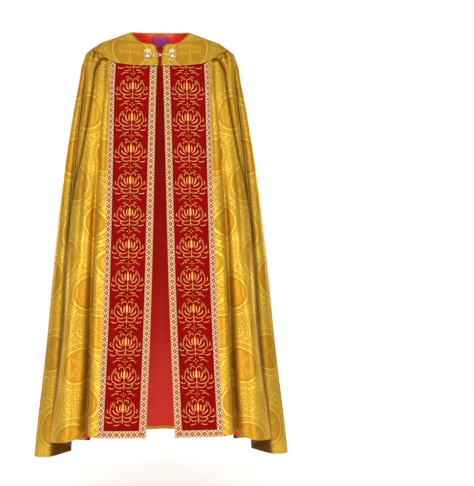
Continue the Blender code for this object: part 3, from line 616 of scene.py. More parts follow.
class Cloth:
    """One side of the cope's cloth as a grid: points, normals and places in its flat cut."""

    def __init__(self):
        self.places = fine_places()
        tops = along_folds("top_angle", self.places)
        edge, neck = yoke_edge(tops) - 2 * SEAM_GAP, neck_edge(tops)
        hem = along_folds("hem", self.places)
        down = np.linspace(0, 1, math.ceil(HANG / ROW_STEP)) ** 1.12
        inside_yoke = np.array([0.0, 0.26, 0.55, FRONT_TUCK_SHARE])
        heights = [blend(neck, edge, share) for share in inside_yoke]
        heights += [blend(edge, hem, share) for share in down]
        self.front_row = len(inside_yoke) - 1
        heights = np.array(heights)
        share = np.concatenate([np.zeros(len(inside_yoke)), down])[:, None] + 0 * heights
        place = np.broadcast_to(self.places, heights.shape)
        base = cloth_point(place.ravel(), heights.ravel()).reshape(*heights.shape, 3)
        arcs = arc(base, 1)
        free = eased(place, BAND_ROWS + 0.05, BAND_ROWS + 0.5)
        troughs, dark = creases(arcs, self.places, share)
        depth = gathers(arcs, share) + troughs
        # Beneath the hood the cloth lies smooth.
        hood_foot = through(*hood_outline(), np.clip(base[..., 0], 0, HOOD_EDGE[-1].across))
        bare = np.where(base[..., 1] > 0, eased(hood_foot - base[..., 2], -0.02, 0.05), 1.0)
        bare = np.where(base[..., 0] > HOOD_EDGE[-1].across, 1.0, bare)
        depth *= free * np.where(place > SEAM_PLACE, bare, 1.0)
        normals = normals_of(all_round(base))[:, : len(self.places)]
        self.points = base + normals * depth[..., None]
        self.normals = normals_of(all_round(self.points))[:, : len(self.places)]
        self.seam = int(np.searchsorted(self.places, SEAM_PLACE - 1e-6))
        self.share = share
        # Painted fold shade from 0 to 1: where the cloth lies low, and along the deepest troughs.
        self.depth = np.maximum(self.painted_hollow_shade(place, share), dark)
        # The cut is part of a ring: it is straight down the centre of the back.
        turn = (arcs[-1, -1] - arcs[-1]) / CUT_RADIUS
        risen = arc(self.points[::-1, -1:], 0)[::-1]
        radius = CUT_RADIUS - risen
        fall = np.interp(BACK_ROUNDEL_HEIGHT, heights[::-1, -1], radius[::-1, 0])
        across = radius * np.sin(turn) - BACK_COLUMN
        self.cut = np.stack([across, fall - radius * np.cos(turn)], axis=-1)

    def painted_hollow_shade(self, place, share):
        """Painted shade from 0 to 1, where points lie low between their neighbours across the folds."""
        along = arc(self.points, 1)
        deepest = np.zeros_like(along)
        for reach, least, most in HOLLOW_SHADE:
            found = np.empty_like(self.points)
            for row, (at, points) in enumerate(zip(along, self.points)):
                for axis in range(3):
                    before = np.interp(at - reach, at, points[:, axis])
                    after = np.interp(at + reach, at, points[:, axis])
                    found[row, :, axis] = (before + after) / 2 - points[:, axis]
            rise = np.sum(found * self.normals, axis=-1) / reach
            deepest = np.maximum(deepest, eased(rise, least, most))
        beside_band = np.where(place < FIRST_FOLDS_END, 0.38 * eased(share, 0.45, 0.70), 1.0)
        gathered = eased(share, 0.10, 0.03)
        deepest *= np.maximum(beside_band, gathered)
        # Painted shadow where the great fold overhangs the cloth behind it.
        far = place - POCKET_END - POCKET_DRIFT * share
        pocket = eased(place, *POCKET_START) * (1 - eased(far, -0.05, 0.18))
        under = pocket * (0.30 + 0.70 * eased(share, 0.25, 0.38))
        # Painted shade along the side fold.
        side = 0.5 * spanned(place, SIDE_FOLD_SHADE) * eased(share, 0.65, 0.30)
        return np.maximum(deepest, np.maximum(under, side))


def hood_outline():
    """The hood's lower edge as distances across and heights, from its point outwards."""
    return column(HOOD_EDGE, "across"), column(HOOD_EDGE, "height")


# ---------------------------------------------------------------- surfaces that carry work
def slopes_to_normals(surface, across, height, step=1e-3):
    """Points of a surface and its unit normals, towards the one who looks at its face."""
    right = surface(across + step, height) - surface(across - step, height)
    up = surface(across, height + step) - surface(across, height - step)
    return surface(across, height), unit(np.cross(right, up))


def on_band(across, height):
    """The left front's cloth, from its front edge outwards."""

    def point(a, z):
        return cloth_point(np.clip(a / BAND_WIDTH * BAND_ROWS, 0, 2.2), z)

    return slopes_to_normals(point, across, height)


def hood_depth(x, height):
    """Depth of the hood at a place across it and a height: it lies over the gathers."""
    half_width, _, back = form(height)
    drop = np.maximum(YOKE_EDGE[0].height - height, 0)
    stand = 1.0 + 0.010 * (1 - np.exp(-drop / 0.03)) + 0.075 * drop
    share = np.clip(np.abs(x) / (half_width * stand), 0, 1)
    return back * stand * np.sqrt(1 - share**2) + hood_sag(x, drop)


def hood_sag(x, drop):
    """Two shallow swells on each side of the hood, which run to its point."""
    towards = np.abs(x) / np.maximum(0.56 - drop, 0.03)
    inner = np.exp(-(((towards - 0.24) / 0.10) ** 2))
    outer = np.exp(-(((towards - 0.62) / 0.11) ** 2))
    return (0.0030 * inner + 0.0024 * outer) * eased(drop, 0.10, 0.30)


def on_hood(across, height):
    """The hood's back; to the right of one who looks at it is the wearer's right."""

    def point(a, z):
        return np.stack([-a, hood_depth(a, z), z], axis=-1)

    return slopes_to_normals(point, across, height)


def on_yoke(across, height):
    """The front of the yoke."""

    def point(a, z):
        half_width, front, _ = form(z)
        return np.stack([a, -front * np.sqrt(np.clip(1 - (a / half_width) ** 2, 0, 1)), z], axis=-1)

    return slopes_to_normals(point, across, height)


# ---------------------------------------------------------------- making and laying pieces
def new_object(name, data):
    obj = bpy.data.objects.new(name, data)
    bpy.context.scene.collection.objects.link(obj)
    return obj


def to_mesh(bm, name, smooth=True):
    mesh = bpy.data.meshes.new(name)
    bm.to_mesh(mesh)
    bm.free()
    if smooth:
        mesh.shade_smooth()
    return mesh


def thickened(obj, thickness):
    """A sheet with its thickness behind its face."""
    wall = obj.modifiers.new("cloth", "SOLIDIFY")
    wall.thickness, wall.offset = thickness, -1
    return obj


def panel(name, points, pattern, thickness):
    """A panel of cloth: a flat grid whose points are moved to their places in the form."""
    rows, columns = points.shape[:2]
    bm = bmesh.new()
    bmesh.ops.create_grid(bm, x_segments=columns - 1, y_segments=rows - 1, size=0.5)
    layer = bm.loops.layers.uv.new("cut")
    for vert in bm.verts:
        i = round((0.5 - vert.co.y) * (rows - 1))
        j = round((0.5 + vert.co.x) * (columns - 1))
        for loop in vert.link_loops:
            loop[layer].uv = pattern[i, j]
        vert.co = points[i, j]
    obj = new_object(name, to_mesh(bm, name))
    return thickened(obj, thickness)


def mesh_points(mesh):
    co = np.empty(len(mesh.vertices) * 3)
    mesh.vertices.foreach_get("co", co)
    return co.reshape(-1, 3)


def lay(mesh, surface, across=0.0, height=0.0, lift=0.0):
    """Lays flat work on a surface: its X goes across, its Y up, and its Z off the face."""
    x, y, z = mesh_points(mesh).T
    points, normals = surface(x + across, y + height)
    mesh.vertices.foreach_set("co", (points + normals * (z + lift)[:, None]).ravel())
    mesh.update()
    return mesh


def dress(obj, finish, *nodes):
    """Gives a piece its finish and says which solids it stands for."""
    obj.data.materials.clear()
    obj.data.materials.append(FINISHES[finish].material)
    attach(obj, "root")
    if nodes:
        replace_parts(obj, *nodes)
    return obj


def twin(piece):
    """The same piece on the wearer's right, dressed as the left one is."""
    name = piece.name.replace("left", "right")
    bm = bmesh.new()
    bm.from_mesh(piece.data)
    bmesh.ops.scale(bm, vec=(-1, 1, 1), verts=bm.verts)
    bmesh.ops.reverse_faces(bm, faces=bm.faces)
    other = new_object(name, to_mesh(bm, name))
    for wall in piece.modifiers:
        thickened(other, wall.thickness)
    nodes = [node.replace("left", "right") for node in piece.get("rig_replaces", [])]
    return dress(other, piece.data.materials[0].name, *nodes)


def turned(profile, steps, cuts=0):
    """A shape turned about Z from a profile of (radius, height), with its foot closed."""
    bm = bmesh.new()
    verts = [bm.verts.new((radius, 0.0, height)) for radius, height in profile]
    edges = [bm.edges.new(pair) for pair in zip(verts, verts[1:])]
    if cuts:
        bmesh.ops.subdivide_edges(bm, edges=edges, cuts=cuts)
    line = bm.verts[:] + bm.edges[:]
    bmesh.ops.spin(bm, geom=line, axis=(0, 0, 1), cent=(0, 0, 0), steps=steps,
                   angle=math.tau, use_merge=True)
    bmesh.ops.remove_doubles(bm, verts=bm.verts, dist=1e-6)
    foot = [edge for edge in bm.edges if edge.is_boundary]
    if foot:
        bmesh.ops.holes_fill(bm, edges=foot, sides=0)
    bmesh.ops.recalc_face_normals(bm, faces=bm.faces)
    return bm


def curve_mesh(name, splines, sides=6, smooth_steps=0, cyclic=False):
    """Round threads as one mesh: each spline is a list of (x, y, z, radius)."""
    curve = bpy.data.curves.new(name, "CURVE")
    curve.dimensions = "3D"
    curve.bevel_depth = 1.0
    curve.bevel_resolution = sides // 2 - 2
    curve.use_fill_caps = True
    for stations in splines:
        kind = "BEZIER" if smooth_steps else "POLY"
        spline = curve.splines.new(kind)
        ends = spline.bezier_points if smooth_steps else spline.points
        ends.add(len(stations) - 1)
        for end, (x, y, z, radius) in zip(ends, stations):
            end.radius = radius
            if smooth_steps:
                end.co = (x, y, z)
                end.handle_left_type = end.handle_right_type = "AUTO"
            else:
                end.co = (x, y, z, 1)
        if smooth_steps:
            spline.resolution_u = smooth_steps
        spline.use_cyclic_u = cyclic
    carrier = new_object(name, curve)
    bpy.context.view_layer.update()
    graph = bpy.context.evaluated_depsgraph_get()
    mesh = bpy.data.meshes.new_from_object(carrier.evaluated_get(graph))
    bpy.data.objects.remove(carrier)
    bm = bmesh.new()
    bm.from_mesh(mesh)
    bmesh.ops.remove_doubles(bm, verts=bm.verts, dist=1e-6)
    bm.to_mesh(mesh)
    bm.free()
    mesh.shade_smooth()
    return mesh


def joined(name, meshes):
    """Several meshes as one."""
    bm = bmesh.new()
    for mesh in meshes:
        bm.from_mesh(mesh)
    return to_mesh(bm, name)


# ---------------------------------------------------------------- shader arithmetic
class Wire:
    """A socket of a material; arithmetic on it adds Math nodes."""

    def __init__(self, recipe, socket):
        self.recipe, self.socket = recipe, socket

    def math(self, operation, *others):
        return self.recipe.add("ShaderNodeMath", {"operation": operation}, [self, *others])

    def __add__(self, other):
        return self.math("ADD", other)

    def __radd__(self, other):
        return self.math("ADD", other)

    def __sub__(self, other):
        return self.math("SUBTRACT", other)

    def __rsub__(self, other):
        return self.recipe.add("ShaderNodeMath", {"operation": "SUBTRACT"}, [other, self])

    def __mul__(self, other):
        return self.math("MULTIPLY", other)

    def __rmul__(self, other):
        return self.math("MULTIPLY", other)

    def __truediv__(self, other):
        return self.math("DIVIDE", other)

    def __rtruediv__(self, other):
        return self.recipe.add("ShaderNodeMath", {"operation": "DIVIDE"}, [other, self])

    def __abs__(self):
        return self.math("ABSOLUTE")

    def __or__(self, other):
        return self.math("MAXIMUM", other)

    def __and__(self, other):
        return self.math("MINIMUM", other)


class Recipe:
    """A material's nodes: constants go on the shader, and what varies is linked to it."""

    def __init__(self, name, **constants):
        self.material = bpy.data.materials.new(name)
        self.material.use_nodes = True
        self.tree = self.material.node_tree
        self.shader = self.tree.nodes["Principled BSDF"]
        for socket, value in constants.items():
            self.shader.inputs[socket.replace("_", " ")].default_value = value

    def add(self, kind, settings=None, inputs=(), output=0):
        """Adds a node, sets its settings, then its sockets' values or links."""
        node = self.tree.nodes.new(kind)
        for key, value in (settings or {}).items():
            setattr(node, key, value)
        pairs = inputs.items() if isinstance(inputs, dict) else enumerate(inputs)
        for key, value in pairs:
            if isinstance(value, Wire):
                self.tree.links.new(value.socket, node.inputs[key])
            else:
                node.inputs[key].default_value = value
        return Wire(self, node.outputs[output])

    def feed(self, socket, wire):
        self.tree.links.new(wire.socket, self.shader.inputs[socket])

    def cut_place(self):
        """Places in the piece's flat cut, in metres."""
        return self.add("ShaderNodeUVMap", {"uv_map": "cut"})

    def pattern(self):
        """The same places, and their two values."""
        place = self.cut_place()
        u, v = (self.add("ShaderNodeSeparateXYZ", {}, [place], axis) for axis in "XY")
        return place, u, v

    def object_place(self):
        return self.add("ShaderNodeTexCoord", output="Object")

    def scaled(self, place, x, y, z=1.0):
        settings = {"operation": "MULTIPLY"}
        return self.add("ShaderNodeVectorMath", settings, [place, (x, y, z)])

    def painted_fold_shade(self):
        """The painted fold shade, from 0 to 1, as shaded() keeps it."""
        return self.add("ShaderNodeAttribute", {"attribute_name": "fold"}, (), "Fac")

    def noise(self, place, scale, detail=2.0):
        inputs = {"Vector": place, "Scale": scale, "Detail": detail}
        return self.add("ShaderNodeTexNoise", {}, inputs)

    def length(self, x, y):
        return (x * x + y * y).math("SQRT")

    def repeat(self, x, period):
        """Distance from the nearest repeat's middle, signed."""
        return x.math("WRAP", period / 2, -period / 2)

    def inside(self, distance, size, soft=0.0006):
        """1 where the distance is under size, with a soft edge."""
        settings = {"interpolation_type": "SMOOTHSTEP", "clamp": True}
        inputs = {"Value": distance, "From Min": size - soft, "From Max": size + soft}
        inputs |= {"To Min": 1.0, "To Max": 0.0}
        return self.add("ShaderNodeMapRange", settings, inputs)

    def ring(self, distance, middle, half, soft=0.0006):
        return self.inside(abs(distance - middle), half, soft)

    def mix(self, share, a, b):
        """Mixes two colours."""
        settings = {"data_type": "RGBA", "clamp_factor": True}
        a, b = ((*c, 1.0) if isinstance(c, tuple) else c for c in (a, b))
        return self.add("ShaderNodeMix", settings, {0: share, 6: a, 7: b}, 2)

    def raise_surface(self, height, strength, distance=0.001):
        inputs = {"Strength": strength, "Distance": distance, "Height": height}
        self.feed("Normal", self.add("ShaderNodeBump", {}, inputs))


# ---------------------------------------------------------------- finishes
def tint(red, green, blue):
    """A colour from its 8-bit values."""
    values = np.array([red, green, blue]) / 255
    linear = np.where(values < 0.04045, values / 12.92, ((values + 0.055) / 1.055) ** 2.4)
    return tuple(float(v) for v in linear)


def gold_damask():
    """Gold silk with woven roundels, each of which holds a slender cross."""
    r = Recipe("damask", Specular_IOR_Level=0.3)
    r.shader.inputs["Specular Tint"].default_value = (*tint(255, 206, 96), 1.0)
    place, u, v = r.pattern()
    x, y = r.repeat(u, REPEAT_ACROSS), r.repeat(v, REPEAT_DOWN)
    a, b = abs(x), abs(y)
    far = r.length(x, y)
    disc_size, chain_middle, roundel_size, boss_size = 0.0500, 0.068, 0.0795, 0.0235
    disc = r.inside(far, disc_size)
    # The cross: long thin arms that end in three buds, within two fine outlines.
    upright = (a - 0.0016) | (b - 0.0350)
    level = (b - 0.0016) | (a - 0.0310)
    top_bud = r.length(x, b - 0.0365) - 0.0042
    side_buds = r.length(a - 0.0048, b - 0.0335) - 0.0030
    end_bud = r.length(a - 0.0325, y) - 0.0042
    end_buds = r.length(a - 0.0295, b - 0.0048) - 0.0030
    cross = upright & level & top_bud & side_buds & end_bud & end_buds
    lines = r.ring(cross, 0.0004, 0.0010) | r.ring(cross, 0.0042, 0.0005) * 0.6
    lines = lines | r.ring(far, 0.0470, 0.0005) * 0.7
    # Two plain rings with lozenges and seeds between them.
    rings = r.ring(far, 0.0585, 0.0026) | r.ring(far, 0.0770, 0.0022)
    turn = y.math("ARCTAN2", x)
    along = r.repeat(turn, math.tau / 28) * chain_middle
    lozenge = abs(along) * 1.3 + abs(far - chain_middle) - 0.0050
    seeds = r.length(abs(along) - 0.0076, far - chain_middle) - 0.0016
    chain = r.inside(lozenge, 0.0) - r.inside(lozenge, -0.0024) * 0.8 | r.inside(seeds, 0.0)
    # A four-petalled boss lies over the rings above and below each roundel.
    rise = r.repeat(v + REPEAT_DOWN / 2, REPEAT_DOWN)
    near = r.length(x, rise)
    boss = r.inside(near, boss_size)
    petal = r.length(abs(x) - 0.0088, rise) & r.length(x, abs(rise) - 0.0088)
    cuts = r.ring(petal, 0.0078, 0.0010) | r.ring(near, 0.0195, 0.0007)
    # Vines and leaves fill the rest, mirrored about the roundels' columns and rows.
    quarter = r.add("ShaderNodeCombineXYZ", {}, [a, b, 0.0])
    field = r.noise(quarter, 40.0, 1.5)
    vines = r.ring((field * 13.0).math("FRACT"), 0.5, 0.16, 0.07)
    cells = r.add("ShaderNodeTexVoronoi", {}, {"Vector": quarter, "Scale": 170.0}, "Distance")
    leaves = r.inside(cells, 0.34, 0.10)
    within = r.inside(far, roundel_size)
    ornament = (1 - within) * (vines | leaves) | within * (1 - r.inside(far, 0.056)) * chain
    figure = (ornament | rings) * (1 - boss) | boss * (1 - cuts)
    plain = disc * (1 - boss) * (1 - lines)
    # Slow changes of tone, and slubs along the threads.
    slow = r.noise(place, 3.2, 2.0) - 0.5
    streaks = r.noise(r.scaled(place, 700.0, 40.0), 1.0, 2.0) - 0.5
    edging = disc * (1 - boss) * (r.ring(cross, 0.0024, 0.0007) | r.ring(far, 0.0490, 0.0007))
    mottle = r.noise(place, 420.0, 2.0) - 0.5
    shade = 0.36 + figure * 0.36 + (disc - plain) * 0.30 - plain * 0.05 - edging * 0.34
    shade = shade + slow * 0.36 + streaks * 0.26 + mottle * 0.50
    # Painted shade in the folds: the colour goes to dark brown there, and the metal dulls.
    painted_shade = r.painted_fold_shade()
    colour = r.mix(shade, tint(146, 84, 0), tint(247, 206, 70))
    colour = r.mix(plain * 0.28, colour, tint(222, 150, 20))
    r.feed("Base Color", r.mix(painted_shade * 0.92, colour, tint(88, 44, 4)))
    r.feed("Metallic", 0.58 - painted_shade * 0.20)
    r.feed("Roughness", 0.56 - (figure * 0.09 + plain * 0.09) + streaks * 0.06 + painted_shade * 0.42)
    relief = figure | plain
    ribs = (v * (math.tau / 0.0006)).math("SINE")
    height = relief * 1.2 + ribs * (1 - relief) * 0.12 + streaks * 0.25
    r.raise_surface(height, 0.40, 0.0005)
    return r.material


def red_satin():
    """The lining: bright satin, with faint creases from wear."""
    r = Recipe("satin", Specular_IOR_Level=0.30, Sheen_Weight=0.05)
    place = r.cut_place()
    threads = r.noise(r.scaled(place, 30.0, 1500.0), 1.0, 2.0) - 0.5
    slow = r.noise(place, 7.0, 3.0) - 0.5
    satin = r.mix(slow * 0.9 + threads * 0.3 + 0.5, tint(232, 20, 9), tint(255, 62, 29))
    # Painted shade darkens the lining inside the side folds at the hem.
    painted_shade = r.painted_fold_shade()
    r.feed("Base Color", r.mix(painted_shade, satin, tint(82, 10, 4)))
    r.feed("Roughness", 0.36 + threads * 0.10)
    crumple = r.noise(place, 26.0, 3.0) - 0.5
    r.raise_surface(crumple * 1.6 + threads * 0.15, 0.30, 0.001)
    return r.material


def red_velvet():
    """The ground of the embroidery, a close pile that catches light at its edges."""
    r = Recipe("velvet", Sheen_Weight=0.04, Sheen_Roughness=0.35, Specular_IOR_Level=0.05)
    r.shader.inputs["Sheen Tint"].default_value = (*tint(255, 96, 84), 1.0)
    place = r.object_place()
    pile = r.noise(place, 900.0, 2.0) - 0.5
    brushed = r.noise(r.scaled(place, 30.0, 30.0, 9.0), 1.0, 3.0) - 0.5
    share = brushed * 0.8 + pile * 0.5 + 0.5
    r.feed("Base Color", r.mix(share, tint(118, 0, 0), tint(154, 0, 2)))
    r.feed("Roughness", 0.72 + pile * 0.15)
    r.raise_surface(pile, 0.35, 0.0006)
    return r.material


def cream_braid():
    """Woven braid: a row of dark red lozenges between cream edges."""
    r = Recipe("braid", Sheen_Weight=0.1, Metallic=0.05)
    place, u, v = r.pattern()
    along, across = r.repeat(u, 0.0185), abs(v - BRAID_WIDTH / 2)
    lozenge = abs(along) / 0.0089 + across / 0.0078
    dots = r.length(abs(along) - 0.00925, across - 0.0062)
    outline = r.inside(lozenge, 1.0, 0.05) - r.inside(lozenge, 0.33, 0.05)
    heart = r.inside(lozenge, 0.33, 0.05)
    red = outline | r.inside(dots, 0.0026)
    edge = r.ring(across, 0.0086, 0.0004) | r.ring(across, 0.0100, 0.0002)
    weft = (u * (math.tau / 0.0007)).math("SINE")
    warp = (v * (math.tau / 0.0009)).math("SINE")
    worn = r.noise(place, 240.0, 3.0) - 0.5
    cream = r.mix(worn * 0.8 + weft * 0.08 + 0.5, tint(228, 185, 118), tint(252, 223, 168))
    body = r.mix(heart, cream, tint(246, 168, 76))
    body = r.mix(edge * 0.75, body, tint(150, 70, 34))
    r.feed("Base Color", r.mix(red, body, r.mix(worn + 0.5, tint(116, 20, 2), tint(150, 38, 10))))
    r.feed("Roughness", 0.62 + worn * 0.1)
    r.raise_surface(weft * 0.35 + warp * 0.25 + red * 0.5 + worn * 0.5, 0.40, 0.0005)
    return r.material


def thread(kind):
    """Silk or metal thread in satin stitch: fine strands that catch the light by turns."""
    r = Recipe(kind.name, Metallic=kind.metallic, Sheen_Weight=0.1)
    place = r.object_place()
    strands = r.noise(r.scaled(place, 1.0, 0.4, 1.0), kind.fine, 1.0) - 0.5
    slow = r.noise(place, 60.0, 2.0) - 0.5
    share = strands * 0.9 + slow * 0.9 + 0.5
    r.feed("Base Color", r.mix(share, tint(*kind.dark), tint(*kind.light)))
    r.feed("Roughness", 0.42 + strands * 0.2)
    r.raise_surface(strands, 0.45, 0.0004)
    return r.material


def gilt():
    """Cast and gilt metal, brighter where it is rubbed."""
    r = Recipe("gilt", Metallic=1.0)
    place = r.object_place()
    grain = r.noise(place, 1400.0, 3.0) - 0.5
    stain = r.noise(place, 220.0, 2.0) - 0.5
    r.feed("Base Color", r.mix(stain * 1.6 + 0.5, tint(214, 166, 92), tint(255, 232, 176)))
    r.feed("Roughness", 0.26 + grain * 0.14 + stain * 0.16)
    r.raise_surface(grain + stain * 0.5, 0.25, 0.0004)
    return r.material


def woven_label():
    """Plain purple weave."""
    r = Recipe("label", Sheen_Weight=0.15)
    place, u, v = r.pattern()
    weft = (v * (math.tau / 0.0005)).math("SINE")
    warp = (u * (math.tau / 0.0005)).math("SINE")
    worn = r.noise(place, 120.0, 3.0) - 0.5
    share = weft * warp * 0.25 + worn * 0.8 + 0.5
    r.feed("Base Color", r.mix(share, tint(150, 40, 120), tint(206, 80, 158)))
    r.feed("Roughness", 0.6 + worn * 0.1)
    r.raise_surface(weft * warp + worn * 0.5, 0.3, 0.0003)
    return r.material


Thread = namedtuple("Thread", "name dark light metallic fine", defaults=[2600.0])
THREADS = (
    Thread("gold silk", (206, 116, 40), (246, 182, 92), 0.05),
    Thread("yellow silk", (218, 138, 20), (252, 198, 70), 0.05),
    Thread("gold cord", (186, 120, 24), (240, 186, 70), 0.25, 1800.0),
    # A real cord whose dark colour also paints the shadow line under the yoke's and the hood's edges.
    Thread("shadow seam cord", (96, 48, 10), (150, 88, 24), 0.1),
    Thread("sewing thread", (196, 132, 30), (236, 188, 88), 0.05),
)
# Every finish has its material's name.
Finish = namedtuple("Finish", "material slot")
FINISHES = {
    "damask": Finish(gold_damask(), "gold_brocade"),
    "satin": Finish(red_satin(), "red_lining"),
    "velvet": Finish(red_velvet(), "red_velvet"),
    "braid": Finish(cream_braid(), "cream_braid"),
    **{kind.name: Finish(thread(kind), "gold_thread") for kind in THREADS},
    "gilt": Finish(gilt(), "gilt_metal"),
    "label": Finish(woven_label(), "purple_label"),
}


# ---------------------------------------------------------------- the cope's cloth
def folded_in(points, normals, lift):
    """The cloth's face with its hem and its front edge turned inside."""
    face = points + normals * lift
    rows, radius = [face], lift / 2
    down = unit(points[-1] - points[-2])
    for turn in np.radians(HEM_BEND):
        rise = math.sin(turn) * radius - radius
        rows.append((points[-1] + down * rise + normals[-1] * radius * (1 + math.cos(turn)))[None])
    face[-1] = points[-1] - down * radius + normals[-1] * lift
    for up in (radius, 0.007, 0.014, HEM_TURNING + 0.002):
        share = up / np.linalg.norm(points[-1] - points[-2], axis=-1)[:, None]
        beyond = np.clip(share - 1, 0, 1)
        at = points[-1] + (points[-2] - points[-1]) * np.minimum(share, 1)
        rows.append((at + (points[-3] - points[-2]) * beyond)[None])
    return np.concatenate(rows)


def hem_cut(cut):
    """The flat cut's places for the rows that folded_in adds."""
    down = unit(cut[-1] - cut[-2])
    return np.concatenate([cut, np.array([cut[-1] + down * past for past in HEM_CUT])])


def shaded(obj, depth):
    """Keeps the painted fold shade of each point of a panel, from 0 to 1, for its finish."""
    # The "fold" attribute holds the painted shade.
    layer = obj.data.attributes.new("fold", "FLOAT", "POINT")
    # The points of a grid are numbered from its foot.
    layer.data.foreach_set("value", depth[::-1].ravel().astype(np.float32))


def edged(depth, columns, rows):
    """Painted fold shade for a panel that has more columns at its first edge and more rows at its foot.
    """
    return np.pad(depth, ((0, rows - len(depth)), (columns, 0)), mode="edge")


def make_cloth(cloth):
    """The gold cloth in three pieces, and the lining behind them all."""
    rows = slice(cloth.front_row, None)
    front = slice(0, cloth.seam + 1)
    face = folded_in(cloth.points[rows, front], cloth.normals[rows, front], BROCADE)
    pattern = hem_cut(cloth.cut[rows, front])
    # The front edge is turned in as the hem is.
    edge, inner = face[:, 0], face[:, 1]
    out = unit(edge - inner)
    inwards = -cloth.normals[rows, 0]
    below = len(face) - len(inwards)
    inwards = np.concatenate([inwards, np.repeat(inwards[-1:], below, axis=0)])
    turning = [edge + out * line.beyond + inwards * line.behind for line in FRONT_TURNING]
    face = np.concatenate([np.stack(turning, axis=1), face], axis=1)
    side = pattern[:, :1] + np.array([[[line.cut, 0.0] for line in FRONT_TURNING]])
    pattern = np.concatenate([side, pattern], axis=1)
    left = panel("front_cloth_left", face, pattern, GOLD_CLOTH)
    # Each panel keeps the painted shade of its folds.
    shaded(left, edged(cloth.depth[rows, front], len(FRONT_TURNING), len(face)))
    twin(dress(left, "damask", "cope_front_left"))

    half = slice(cloth.seam, None)
    face = all_round(folded_in(cloth.points[:, half], cloth.normals[:, half], BROCADE))
    pattern = both_ways(hem_cut(cloth.cut[:, half]))
    back = dress(panel("back_cloth", face, pattern, GOLD_CLOTH), "damask", "cope_back")
    shaded(back, edged(both_ways(cloth.depth[:, half]), 0, len(face)))

    inside = cloth.points.copy()
    step = inside[-1] - inside[-2]
    size = np.linalg.norm(step, axis=-1, keepdims=True)
    inside[-1] -= step * np.minimum(0.95, HEM_TURNING / size)
    inside -= cloth.normals * (SEAM_GAP + 0.0001)
    last = len(inside) - 1
    few = [*range(LINING_FINE_ROWS), *range(LINING_FINE_ROWS, last, 2), last]
    face, pattern = all_round(inside)[few], both_ways(cloth.cut)[few]
    lining = panel("lining_cloth", face, pattern, SATIN_CLOTH)
    # Painted shade on the lining inside the side folds at the hem.
    depth = spanned(cloth.places, HEM_SIDE_FOLDS_SHADE) * eased(cloth.share, 0.86, 0.97)
    shaded(lining, both_ways(depth)[few])
    dress(lining, "satin", "lining")


def opening_angle(height):
    """Where the yoke's opening stands at a height, in degrees."""
    return -np.degrees(np.arccos(gap_at(YOKE_GAP, height) / form(height)[0]))


def yoke_points(columns, rows):
    """Half a yoke's points from the neck down, and from the opening to the shoulder."""
    share = np.linspace(0, 1, columns) ** 0.9
    flat = blend(opening_angle(YOKE_EDGE[-1].height), 0.0, share)
    neck, foot = neck_edge(flat), yoke_edge(flat)
    for _ in range(8):
        neck = neck_edge(blend(opening_angle(neck), 0.0, share))
    height = blend(neck, foot, np.linspace(0, 1, rows)[:, None])
    x, y = on_form(blend(opening_angle(height), 0.0, share), height)
    return np.stack([x, y, height], axis=-1)


def rolled(points, normals, depth):
    """Draws the foot of a face back, so that the cloth turns under there."""
    points = points.copy()
    for row, share in ((-1, 1.0), (-2, 0.35), (-3, 0.08)):
        points[row] -= normals[row] * depth * share
    return points


def make_yoke():
    """The fronts of the yoke, cut so that a roundel lies on each."""
    grid = yoke_points(56, 40)
    normals = normals_of(grid)
    face = rolled(grid, normals, 0.0007) + normals * (YOKE_LIFT + BROCADE)
    across, rise = YOKE_ROUNDEL
    falls = arc(grid, 0)
    pattern = np.stack([grid[..., 0] - across, falls - falls[-1] + rise], axis=-1)
    twin(dress(panel("yoke_cloth_left", face, pattern, LINED_CLOTH), "damask", "yoke_left"))
    return grid, normals


def hood_points(columns, rows):
    """The hood: its top follows the neck and the shoulders, its foot a shield."""
    share = np.linspace(0, 1, columns + 1)
    neck = np.clip(share / HOOD_NECK_SHARE, 0, 1)
    angle = blend(90.0, 0.0, neck)
    neck_height = neck_edge(angle)
    shoulder = np.clip((share - HOOD_NECK_SHARE) / (1 - HOOD_NECK_SHARE), 0, 1)
    seam_height = blend(NECK_SIDE_HEIGHT, YOKE_EDGE[0].height, shoulder)
    on_shoulder = shoulder > 0
    top_height = np.where(on_shoulder, seam_height, neck_height)
    top_x = np.where(on_shoulder, form(seam_height)[0], on_form(angle, neck_height)[0])
    shares = column(HOOD_EDGE, "share")
    foot_x = through(shares, column(HOOD_EDGE, "across"), share)
    foot_height = through(shares, column(HOOD_EDGE, "height"), share)
    down = (np.linspace(0, 1, rows + 1) ** 1.7)[:, None]
    x, height = blend(top_x, foot_x, down), blend(top_height, foot_height, down)
    half = np.stack([x, hood_depth(x, height), height], axis=-1)
    return np.concatenate([half[:, ::-1], half[:, 1:] * MIRROR], axis=1)


def make_hood():
    """The hood, cut so that a roundel lies just above its point."""
    grid = hood_points(72, 84)
    normals = normals_of(grid)
    face = rolled(grid, normals, 0.0008) + normals * (HOOD_LIFT + BROCADE)
    falls = arc(grid, 0)
    risen = grid[-1:, :, 2] + (falls[-1:] - falls)
    pattern = np.stack([grid[..., 0], HOOD_ROUNDEL_HEIGHT - risen], axis=-1)
    dress(panel("hood_cloth", face, pattern, LINED_CLOTH), "damask", "hood")
    return grid, normals


